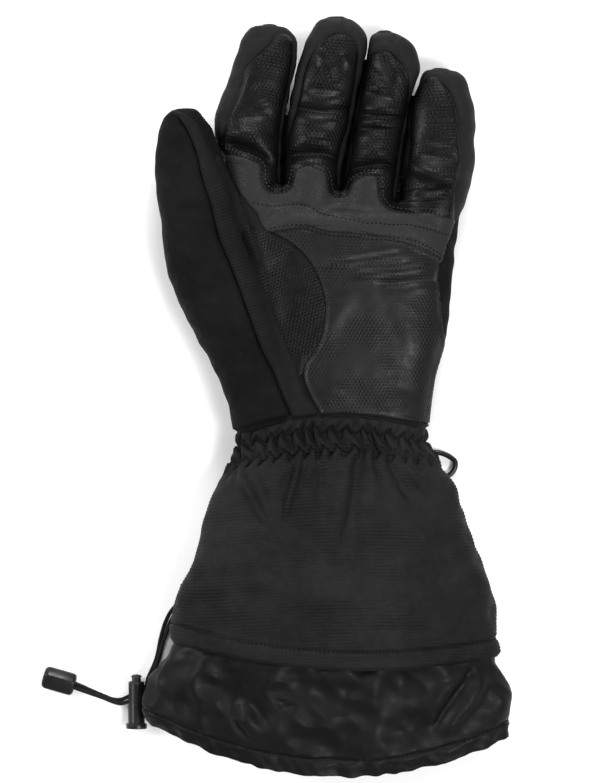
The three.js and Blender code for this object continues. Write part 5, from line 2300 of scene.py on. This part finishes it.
@dataclass
class Gauntlet:
    """The ribbed cuff: gathered at the wrist, flared to a stitched hem."""

    sides: int = 320
    spacing: float = 0.64
    inner_spacing: float = 12.0
    wall: float = 2.2
    pitch: float = 1.75
    rib_height: float = 0.6
    puff_pitch: float = 6.4
    puff_height: float = 3.6
    hem: float = 9.0
    seed: int = 11
    neck: float = 215.0
    puff_zone: tuple[float, float, float, float] = (2.0, 8.0, 20, 28)
    elastic_rows: tuple[tuple[float, float], ...] = ((11.0, 3.0), (20.0, 2.5))
    elastic_width: float = 1.25
    zigzag: float = 2.6
    fold_width: float = 1.5
    soft_from: tuple[float, float] = (22, 34)
    hem_rise: float = 0.5
    hem_groove: float = 0.55
    floor_room: float = 1.25

    def puffs(self, around: np.ndarray, along: np.ndarray, total: float) -> np.ndarray:
        """Pleats that the elastic's two rows pinch, and the folds that run down from them.

        Args:
            around: place round the cuff.
            along: place down the cuff.
            total: length round the cuff.

        Returns:
            Heights in millimetres.
        """
        picker = np.random.default_rng(self.seed)
        count = int(round(total / self.puff_pitch))
        pitch = total / count
        turn = 2 * np.pi * around / total
        radius = total / 6.28
        spot = np.stack([np.cos(turn) * radius, np.sin(turn) * radius, along * 0.8], axis=-1)
        shift = 0.15 * ripples(spot, 9.0, self.seed) + 0.12 * ripples(spot, 22.0, self.seed + 1)
        band = np.abs((along / 20.0) % 1.0 - 0.5) * 2
        place = around / pitch + shift + 0.6 * band
        sharp = np.abs(np.sin(np.pi * place)) ** 0.9
        strength = 0.85 + 0.35 * ripples(spot, 12.0, self.seed + 2)
        grown, full, fading, gone = self.puff_zone
        zone = smoothstep(along, grown, full) * (1 - smoothstep(along, fading, gone))
        height = self.puff_height * (sharp - 0.6) * strength * zone
        zig = self.zigzag * (np.abs(place % 1.0 - 0.5) * 4 - 1)
        for row, deep in self.elastic_rows:
            height -= deep * groove(along - row, zig, self.elastic_width)
        for k in range(count):
            place = (k + 0.5 + picker.uniform(-0.3, 0.3)) * pitch
            reach = picker.uniform(8, 26)
            depth = picker.uniform(0.4, 1.5)
            lean = picker.uniform(-0.15, 0.15)
            dx = np.abs((around - place - lean * (along - 20) + total / 2) % total - total / 2)
            fade = smoothstep(along, 18, 22) * (1 - smoothstep(along, 21, 22 + reach))
            height -= depth * groove(dx, 0.0, self.fold_width) * fade
        return height

    def height(
        self,
        outer: np.ndarray,
        normals: np.ndarray,
        around: np.ndarray,
        along: np.ndarray,
        long: np.ndarray,
    ) -> np.ndarray:
        """How far the cloth stands off its plain form.

        Args:
            outer: the plain form's points.
            normals: its directions.
            around: each point's place round the cuff.
            along: its distance from the upper end.
            long: the points, pressed together so that waves run round the cuff.

        Returns:
            Heights in millimetres.
        """
        puffs = self.puffs(around, along, self.neck)
        folds = relief(GAUNTLET_FOLDS, outer[..., 0], outer[..., 1]) * smoothstep(normals[..., 2], -0.2, 0.4)
        from_hem = along[-1:, :] - along
        hem = self.hem_rise * np.exp(-((from_hem - self.hem * 0.5) / (self.hem * 0.55)) ** 4)
        hem = hem - self.hem_groove * groove(from_hem, self.hem, 0.9)
        hem = hem - 0.9 * (1 - smoothstep(from_hem, 0, 1.6))
        piping = 0.9 * groove(along, 1.1, 0.7) - 0.7 * groove(along, 2.7, 0.7)
        top = piping - 1.6 * (1 - smoothstep(along, 0, 0.7))
        soft = 1.5 * ripples(outer, 24.0, seed=21) + 0.4 * ripples(long, 6.0, seed=22)
        soft = soft * smoothstep(along, *self.soft_from)
        under = normals[..., 2] < -0.3
        return np.where(under, np.minimum(puffs, 0) * 0.3, puffs) + folds + hem + top + soft

    def ribbed(self, along: np.ndarray, from_hem: np.ndarray) -> np.ndarray:
        """How strong the ribs are, on the cuff and on its hem.

        Args:
            along: each point's distance from the upper end.
            from_hem: its distance from the lower edge.

        Returns:
            Shares from 0 to 1.
        """
        hem = self.hem
        cuff = smoothstep(along, 9, 22) * smoothstep(from_hem, hem + 0.8, hem + 1.8)
        folded = 0.8 * smoothstep(from_hem, 1.0, 2.0) * (1 - smoothstep(from_hem, hem - 1.6, hem - 0.6))
        return cuff + folded

    def piece(self, tree: bpy.types.NodeTree, material: bpy.types.Material) -> np.ndarray:
        """Builds and hands in the gauntlet.

        Args:
            tree: the ribs' tree.
            material: the gauntlet's cloth.

        Returns:
            The line of its hem stitches.
        """
        outer = cuff_rings(GAUNTLET, self.spacing, self.sides)
        along = down_cuff(outer)
        from_hem = along[-1:, :] - along
        share = (np.arange(self.sides) / self.sides)[None, :]
        around = np.broadcast_to(share * self.neck, along.shape)
        normals = ring_normals(outer)
        long = outer * np.array([0.45, 1.0, 0.6])
        outer = outer + normals * self.height(outer, normals, around, along, long)[..., None]
        outer[..., 2] = np.maximum(outer[..., 2], self.floor_room * self.rib_height)
        inner = cuff_rings(GAUNTLET, self.inner_spacing, self.sides, self.wall)
        thing = close_cuff("gauntlet_cloth", outer, inner)
        fade = self.ribbed(along, from_hem) * np.clip(0.8 + 0.35 * ripples(long, 16.0, seed=23), 0.25, 1.2)
        inner_count = inner.shape[0] * self.sides
        set_float_attribute(thing, "along", np.concatenate([along.ravel(), np.zeros(inner_count)]))
        set_float_attribute(thing, "ribbed", np.concatenate([fade.ravel(), np.zeros(inner_count)]))
        ReliefTrees.apply(thing, tree, Pitch=self.pitch, Height=self.rib_height * MM, Material=material)
        hand_in(thing, material, ["gauntlet"])
        return hem_ring(outer, from_hem, normals, self.hem)


# Folds of the skirt's upper side, seen from above.
SKIRT_FOLDS = [
    Fold(-3.4, 3.8, ((74, -133), (70, -141), (63, -150), (57, -160), (52, -170)), 0.6),
    Fold(1.7, 3.2, ((80, -139), (72, -152), (62, -163), (54, -172))),
    Fold(1.4, 2.4, ((60, -138), (55, -150), (51, -160))),
    Fold(-2.2, 2.6, ((-38, -150), (-34, -160), (-29, -169))),
    Fold(-1.9, 1.6, ((-49, -152), (-47.5, -161), (-42, -169), (-36, -173)), 0.7),
    Fold(1.5, 2.6, ((-45, -149), (-41, -158), (-36, -167))),
    Fold(-2.0, 4.0, ((-56, -139), (-55, -148), (-53, -153))),
    Fold(1.4, 3.0, ((-66, -136), (-67, -146), (-64, -154))),
    Fold(1.1, 1.4, ((-28, -149), (-23, -150.5), (-18, -149))),
    Fold(-1.1, 1.8, ((-27, -152), (-21, -155), (-14, -154))),
    Fold(-1.2, 3.4, ((10, -141), (9, -152), (4, -163))),
    Fold(0.9, 3.0, ((22, -140), (23, -152), (20, -164))),
    Fold(-1.1, 2.8, ((34, -142), (37, -154), (36, -166))),
    Fold(-1.1, 2.6, ((-80, -140), (-83, -150), (-84, -160))),
    Fold(1.0, 2.0, ((-74, -142), (-77, -152), (-76, -163))),
    Fold(0.8, 1.6, ((64, -140), (60, -146), (62, -153))),
]


@dataclass
class SnowSkirt:
    """The soft nylon skirt below the gauntlet's hem."""

    sides: int = 240
    spacing: float = 0.55
    wall: float = 1.0
    hem: float = 8.5
    seed: int = 5
    shown_from: tuple[float, float] = (22, 34)
    under_share: float = 0.3
    off_floor: float = 0.4
    inner_off_floor: float = 0.8
    inner_every: int = 4

    def height(self, outer: np.ndarray, normals: np.ndarray, along: np.ndarray) -> np.ndarray:
        """How far the nylon stands off its plain form: folds, crumples, pleats and a ruffled hem.

        Args:
            outer: the plain form's points.
            normals: its directions.
            along: each point's distance from the upper end.

        Returns:
            Heights in millimetres.
        """
        from_hem = along[-1:, :] - along
        turn = 2 * np.pi * np.arange(self.sides)[None, :] / self.sides
        pleats = 0.9 * np.sin(turn * 13 + 1.9 * np.sin(turn * 4 + 1))
        pleats = pleats * smoothstep(along, 24, 30) * (1 - smoothstep(along, 34, 52))
        ruffle = 0.5 * np.sin(turn * 23 + 2.4 * np.sin(turn * 5)) * (1 - smoothstep(from_hem, 2.0, 15.0))
        height = relief(SKIRT_FOLDS, outer[..., 0], outer[..., 1]) * smoothstep(normals[..., 2], -0.1, 0.3)
        crumple = 1.4 * ripples(outer, 18.0, self.seed) + 0.12 * ripples(outer, 4.5, self.seed + 1)
        crumple += 0.5 * (1 - 2 * np.abs(ripples(outer, 11.0, self.seed + 3, 5)))
        below = smoothstep(from_hem, 3.0, 22.0)
        height += crumple * smoothstep(along, *self.shown_from) * (0.4 + 0.6 * below)
        height += pleats + ruffle
        height -= 0.8 * groove(from_hem, self.hem, 0.9)
        fine = 0.25 * ripples(outer, 3.0, self.seed + 2)
        height += fine * (1 - smoothstep(from_hem, self.hem, self.hem + 5))
        return np.where(normals[..., 2] < -0.3, height * self.under_share, height)

    def piece(self, material: bpy.types.Material) -> np.ndarray:
        """Builds and hands in the skirt.

        Args:
            material: the nylon.

        Returns:
            The line of its hem stitches.
        """
        outer = cuff_rings(SKIRT, self.spacing, self.sides)
        along = down_cuff(outer)
        from_hem = along[-1:, :] - along
        normals = ring_normals(outer)
        outer = outer + normals * self.height(outer, normals, along)[..., None]
        turn = 2 * np.pi * np.arange(self.sides)[None, :] / self.sides
        wave = np.sin(turn * 29 + 3.0 * np.sin(turn * 6)) * 0.35 * (1 - smoothstep(from_hem, 0.0, 9.0))
        outer[..., 1] += wave
        outer[..., 2] = np.maximum(outer[..., 2], self.off_floor)
        inner = outer[:: self.inner_every] - normals[:: self.inner_every] * self.wall
        inner[..., 2] = np.maximum(inner[..., 2], self.inner_off_floor)
        thing = close_cuff("snow_skirt_nylon", outer, inner)
        hand_in(thing, material, ["snow_skirt"])
        return hem_ring(outer, from_hem, normals, self.hem)


def upper_surface(things: Iterable[bpy.types.Object]) -> BVHTree:
    """A tree of several meshes that points can be dropped onto from above.

    Args:
        things: the objects.

    Returns:
        The tree.
    """
    points, faces = [], []
    for thing in things:
        start = len(points)
        points += [v.co.copy() for v in thing.data.vertices]
        faces += [[start + i for i in p.vertices] for p in thing.data.polygons]
    return BVHTree.FromPolygons(points, faces)


@dataclass
class Stitching:
    """Rows of thread on the leather and round both hems."""

    pitch: float = 2.15
    length: float = 1.25
    thickness: float = 0.62
    rise: float = 0.12
    spacing: float = 0.8
    rows_apart: float = 2.2

    def laid(self, line: np.ndarray, surface: BVHTree) -> np.ndarray:
        """Drops a line onto the glove from above.

        Args:
            line: the line seen from above.
            surface: what it falls on.

        Returns:
            The line's points in millimetres.
        """
        found = []
        for x, y in line:
            hit = surface.ray_cast(Vector((x * MM, y * MM, RAY_START)), DOWN)
            if hit[0] is not None:
                found.append((x, y, hit[0].z / MM + self.rise))
        return np.array(found)

    def row(
        self,
        name: str,
        line: np.ndarray,
        closed: bool,
        tree: bpy.types.NodeTree,
        material: bpy.types.Material,
        slot: Slot,
    ) -> None:
        """Sews one row.

        Args:
            name: the row's name.
            line: its points in millimetres.
            closed: whether it leads back to its start.
            tree: the stitches' tree.
            material: the thread.
            slot: the slot of what it is sewn to; not used.
        """
        count = len(line)
        edges = [(i, (i + 1) % count) for i in range(count if closed else count - 1)]
        mesh = bpy.data.meshes.new(name)
        mesh.from_pydata((line * MM).tolist(), edges, [])
        thing = bpy.data.objects.new(name, mesh)
        bpy.context.scene.collection.objects.link(thing)
        sizes = {"Pitch": self.pitch * MM, "Length": self.length * MM, "Thickness": self.thickness * MM}
        ReliefTrees.apply(thing, tree, Material=material, **sizes)
        thing.data.polygons.foreach_set("use_smooth", [True] * len(thing.data.polygons))
        hand_in(thing, material)

    def leather_rows(
        self,
        surface: BVHTree,
        tree: bpy.types.NodeTree,
        materials: dict[str, bpy.types.Material],
    ) -> None:
        """Sews the rows on the leather.

        Args:
            surface: what they fall on.
            tree: the stitches' tree.
            materials: the glove's materials by name.
        """
        patch = smooth_line(np.array(PATCH_ROW), self.spacing)
        rows = {
            "stitches_patch_outer": patch,
            "stitches_patch_inner": offset_line(patch, self.rows_apart),
            "stitches_patch_line": smooth_line(np.array(PATCH_LINE), self.spacing),
            "stitches_patch_lower": smooth_line(np.array(PATCH_LOWER_ROW), self.spacing),
            "stitches_patch_last": smooth_line(np.array(PATCH_LAST_ROW), self.spacing),
        }
        for name, line in rows.items():
            thread = materials["light_thread" if name == "stitches_patch_inner" else "thread"]
            self.row(name, self.laid(line, surface), False, tree, thread, Slot.PALM_LEATHER)


@dataclass
class DrawCord:
    """Two braided strands from the tab through the lock to the moulded end."""

    diameter: float = 2.2
    apart: float = 2.34
    around: int = 20
    lay: float = 3.4
    points: int = 300
    spacing: float = 0.3
    slack: float = 0.05
    braid: float = 0.07
    braid_roundness: float = 0.7

    def strand(
        self,
        name: str,
        side: int,
        material: bpy.types.Material,
    ) -> tuple[bpy.types.Object, np.ndarray]:
        """One strand.

        Args:
            name: the piece's name.
            side: 1 or -1, for the side of the middle line.
            material: the braid.

        Returns:
            The strand and the points that it follows.
        """
        table = np.array(CORD_ROUTE)
        route, roll = table[:, :3], np.radians(table[:, 3:4])
        along = np.gradient(route, axis=0)
        across = np.stack([-along[:, 1], along[:, 0], np.zeros(len(route))], axis=1)
        across /= np.linalg.norm(across, axis=1, keepdims=True)
        upright = np.array([0.0, 0.0, 1.0])
        across = across * np.cos(roll) + upright * np.sin(roll)
        path = even_line(smooth_line(route + across * side * self.apart / 2, self.spacing), self.points)
        tangents = np.gradient(path, axis=0)
        tangents /= np.linalg.norm(tangents, axis=1, keepdims=True)
        right = np.cross(tangents, upright)
        right /= np.linalg.norm(right, axis=1, keepdims=True)
        up = np.cross(right, tangents)
        turn = 2 * np.pi * np.arange(self.around) / self.around
        phase = lengths_along(path)[:, None] * 2 * np.pi / self.lay
        over = np.sin(2 * (turn[None, :] + phase)) * np.sin(2 * (turn[None, :] - phase))
        radius = self.diameter / 2 * (1 - self.slack + self.braid * signed_power(over, self.braid_roundness))
        cos, sin = np.cos(turn)[None, :, None], np.sin(turn)[None, :, None]
        outward = cos * right[:, None, :] + sin * up[:, None, :]
        points = path[:, None, :] + radius[..., None] * outward
        thing = new_object(name, points.reshape(-1, 3), loft_faces(len(path), self.around, True))
        thing.data.materials.append(material)
        return thing, path

    def pieces(self, material: bpy.types.Material) -> list[tuple[bpy.types.Object, np.ndarray]]:
        """Builds both strands, each with the points that it follows."""
        return [self.strand("cord_strand_a", 1, material), self.strand("cord_strand_b", -1, material)]


@dataclass
class Hardware:
    """The cord's lock and end, its tab, and the clip ring with its webbing."""

    edge: float = 0.35
    ring_corners: tuple[tuple[float, float], ...] = (
        (53.2, -28.9),
        (55.6, -28.4),
        (62.1, -30.8),
        (65.2, -33.9),
        (60.4, -41.2),
        (56.4, -40.0),
    )
    ring_bend: float = 1.1
    ring_radius: float = 1.32
    ring_height: float = 2.65
    ring_sides: int = 20
    end_profile: tuple[tuple[float, float], ...] = (
        (-5.3, 0.1),
        (-5.6, 0.6),
        (-5.6, 2.6),
        (-5.2, 3.6),
        (-1.9, 6.6),
        (-1.3, 6.8),
        (-0.8, 6.7),
        (4.6, 5.3),
        (5.3, 4.8),
        (5.6, 4.0),
        (5.6, 0.6),
        (5.3, 0.1),
    )
    end_rows: tuple[tuple[float, float], ...] = (
        (-8.3, 0.5),
        (-8.0, 0.78),
        (-7.2, 0.93),
        (-6.0, 1.0),
        (6.6, 1.0),
        (7.4, 0.95),
        (8.0, 0.82),
        (8.3, 0.6),
    )
    end_middle: tuple[float, float, float] = (-135.8, -144.0, 3.3)
    end_turn: float = -16
    end_edge: float = 0.25
    tab_rows: tuple[tuple[float, float, float], ...] = (
        (-95, 3.5, 1.6),
        (-97, 3.6, 1.9),
        (-100, 3.5, 2.0),
        (-102.4, 3.3, 1.9),
        (-103.6, 3.0, 1.5),
        (-104, 2.6, 0.9),
    )
    tab_x: float = -70.9
    tab_height: float = 4.3
    tab_sides: int = 28
    loop_radius: float = 2.35
    loop_inside: float = 1.6
    loop_half: float = 3.5
    loop_rows: int = 22
    loop_sides: int = 32
    loop_middle: tuple[float, float, float] = (54.3, -32.6, 2.65)
    loop_turn: float = 16.5

    def ring(self, material: bpy.types.Material) -> None:
        """The clip's ring, a round bar bent to a rounded triangle.

        Args:
            material: the plastic.
        """
        corners = np.array(self.ring_corners)
        bends = []
        for before, corner, after in zip(np.roll(corners, 1, axis=0), corners, np.roll(corners, -1, axis=0)):
            for end in (before, after):
                bends.append(corner + (end - corner) / np.linalg.norm(end - corner) * self.ring_bend)
        line = smooth_line(np.array(bends), 0.3, closed=True)
        along = np.roll(line, -1, axis=0) - np.roll(line, 1, axis=0)
        along /= np.linalg.norm(along, axis=1, keepdims=True)
        aside = np.stack([-along[:, 1], along[:, 0]], axis=1)
        sides = self.ring_sides
        turn = 2 * np.pi * np.arange(sides) / sides
        flat = line[:, None, :] + aside[:, None, :] * (np.cos(turn) * self.ring_radius)[None, :, None]
        height = self.ring_height + np.broadcast_to(np.sin(turn) * self.ring_radius, flat.shape[:2])
        points = np.concatenate([flat, height[..., None]], axis=2)
        thing = new_object("clip_ring_moulded", points.reshape(-1, 3), loft_faces(len(line), sides, False))
        face_outward(thing)
        hand_in(thing, material, ["clip_ring"])

    def moulded(self, node: str, name: str, material: bpy.types.Material, body: str = "root") -> None:
        """A moulded part with softened edges in place of the plain one.

        Args:
            node: the frame's node.
            name: the new piece's name.
            material: the plastic.
            body: the body that it rides on.
        """
        source = bpy.data.objects[node]
        mesh = source.data.copy()
        mesh.transform(source.matrix_world)
        thing = bpy.data.objects.new(name, mesh)
        bpy.context.scene.collection.objects.link(thing)
        weld = thing.modifiers.new("weld", "WELD")
        weld.merge_threshold = 0.00001
        soften_edges(thing, self.edge, bevel_above=35, sharp_above=40)
        hand_in(thing, material, [node], body=body)

    def cord_end(self, material: bpy.types.Material) -> None:
        """The moulded end: a block with a ridge along it, a narrow upper face and a wider front face.

        Args:
            material: the plastic.
        """
        middle_x, middle_y, middle_z = self.end_middle
        profile = np.array(self.end_profile)
        centre = np.array([0.0, middle_z])
        turn = math.radians(self.end_turn)
        points = []
        for place, share in self.end_rows:
            for w, z in (profile - centre) * share + centre:
                x = middle_x + place * math.cos(turn) + w * math.sin(turn)
                y = middle_y + place * math.sin(turn) - w * math.cos(turn)
                points.append((x, y, max(z, 0.1)))
        faces = loft_faces(len(self.end_rows), len(profile), True)
        thing = new_object("cord_end_moulded", np.array(points), faces)
        face_outward(thing)
        soften_edges(thing, self.end_edge, bevel_above=25, sharp_above=50)
        hand_in(thing, material, ["cord_end"])

    def tab(self, material: bpy.types.Material) -> None:
        """The folded tab that the cord comes out of, rounded at its fold and sewn down.

        Args:
            material: the cloth.
        """
        sides = self.tab_sides
        turn = 2 * np.pi * np.arange(sides) / sides
        rows = []
        for y, half, thick in self.tab_rows:
            x = self.tab_x + half * signed_power(np.cos(turn), 0.45)
            z = self.tab_height + thick * signed_power(np.sin(turn), 0.55) + 0.12 * np.sin(x * 4.2)
            rows.append(np.stack([x, np.full_like(x, y), z], axis=1))
        dense = smooth_line(np.array(rows).reshape(len(rows), -1), 4.0).reshape(-1, sides, 3)
        faces = loft_faces(len(dense), sides, True, hemward=True)
        thing = new_object("cord_tab_webbing", dense.reshape(-1, 3), faces)
        hand_in(thing, material, ["cord_tab"])

    def clip_webbing(self, material: bpy.types.Material) -> None:
        """The webbing loop round the ring's hidden bar, ribbed across.

        Args:
            material: the cloth.
        """
        sides, rows, radius = self.loop_sides, self.loop_rows, self.loop_radius
        middle_x, middle_y, middle_z = self.loop_middle
        turn = 2 * np.pi * np.arange(sides) / sides
        across, up = signed_power(np.cos(turn), 0.6), signed_power(np.sin(turn), 0.6)
        outer = np.stack([radius * across, radius * up], axis=1)
        inner = outer * (self.loop_inside / radius)
        lean = math.radians(self.loop_turn)
        places = [-self.loop_half + 2 * self.loop_half * k / (rows - 1) for k in range(rows)]
        sheets = [(place, outer * (1 + 0.035 * math.sin(place * 5.4))) for place in places]
        sheets += [(place, inner) for place in reversed(places)]
        points = []
        for place, ring in sheets:
            for a, b in ring:
                x = middle_x + a * math.cos(lean) + place * math.sin(lean)
                y = middle_y + a * math.sin(lean) - place * math.cos(lean)
                points.append((x, y, middle_z + b))
        faces = loft_faces(len(sheets), sides, False)
        thing = new_object("clip_loop_webbing", np.array(points), faces)
        face_outward(thing)
        hand_in(thing, material, ["clip_loop"])

    def pieces(self, materials: dict[str, bpy.types.Material]) -> None:
        """Builds and hands in every part.

        Args:
            materials: the glove's materials by name.
        """
        self.moulded("cord_lock_barrel", "lock_barrel_moulded", materials["plastic"])
        self.moulded("cord_lock_plunger", "lock_plunger_moulded", materials["plastic"], body="plunger")
        self.ring(materials["plastic"])
        self.cord_end(materials["plastic"])
        self.tab(materials["ottoman"])
        self.clip_webbing(materials["ottoman"])


def soften_edges(thing: bpy.types.Object, width: float, bevel_above: float, sharp_above: float) -> None:
    """Rounds a moulded part's edges off and shades it smoothly between them.

    Args:
        thing: the part.
        width: the rounding's width in millimetres.
        bevel_above: edges that turn by more degrees than this are rounded.
        sharp_above: edges that still turn by more degrees than this stay sharp.
    """
    bevel = thing.modifiers.new("edges", "BEVEL")
    bevel.width = width * MM
    bevel.segments = 2
    bevel.limit_method = "ANGLE"
    bevel.angle_limit = math.radians(bevel_above)
    bake_modifiers(thing)
    thing.data.polygons.foreach_set("use_smooth", [True] * len(thing.data.polygons))
    thing.data.set_sharp_from_angle(angle=math.radians(sharp_above))


def face_outward(thing: bpy.types.Object) -> None:
    """Turns a closed mesh's faces outward.

    Args:
        thing: the object.
    """
    shape = bmesh.new()
    shape.from_mesh(thing.data)
    bmesh.ops.recalc_face_normals(shape, faces=shape.faces)
    shape.to_mesh(thing.data)
    shape.free()


def main() -> None:
    """Builds the scene piece by piece."""
    logging.basicConfig(level=logging.INFO, format="%(name)s: %(message)s")
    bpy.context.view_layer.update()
    studio = Studio()
    studio.camera()
    kit = ShaderKit.build()
    materials = {finish.name: finish.build(kit) for finish in FINISHES}
    cord = DrawCord()
    strands = cord.pieces(materials["braid"])
    Hardware().pieces(materials)
    for (thing, path), node in zip(strands, ("draw_cord_a", "draw_cord_b")):
        hand_in(thing, materials["braid"], [node])
    studio.floor()
    studio.lights()
    rib_tree = ReliefTrees.ribs()
    stitch_tree = ReliefTrees.stitches()
    shell = HandShell()
    shell.pieces(materials)
    panels = HandPanels().pieces(shell.room, materials)
    strip = ThumbStrip().piece(shell.room, rib_tree, materials["stretch_rib"])
    stitching = Stitching()
    stitching.leather_rows(upper_surface([*panels, strip]), stitch_tree, materials)
    gauntlet_hem = Gauntlet().piece(rib_tree, materials["ottoman"])
    stitching.row("stitches_gauntlet_hem", gauntlet_hem, True, stitch_tree, materials["thread"], Slot.OTTOMAN)
    skirt_hem = SnowSkirt().piece(materials["nylon"])
    stitching.row("stitches_skirt_hem", skirt_hem, True, stitch_tree, materials["thread"], Slot.NYLON)


if __name__ == "__main__":
    main()
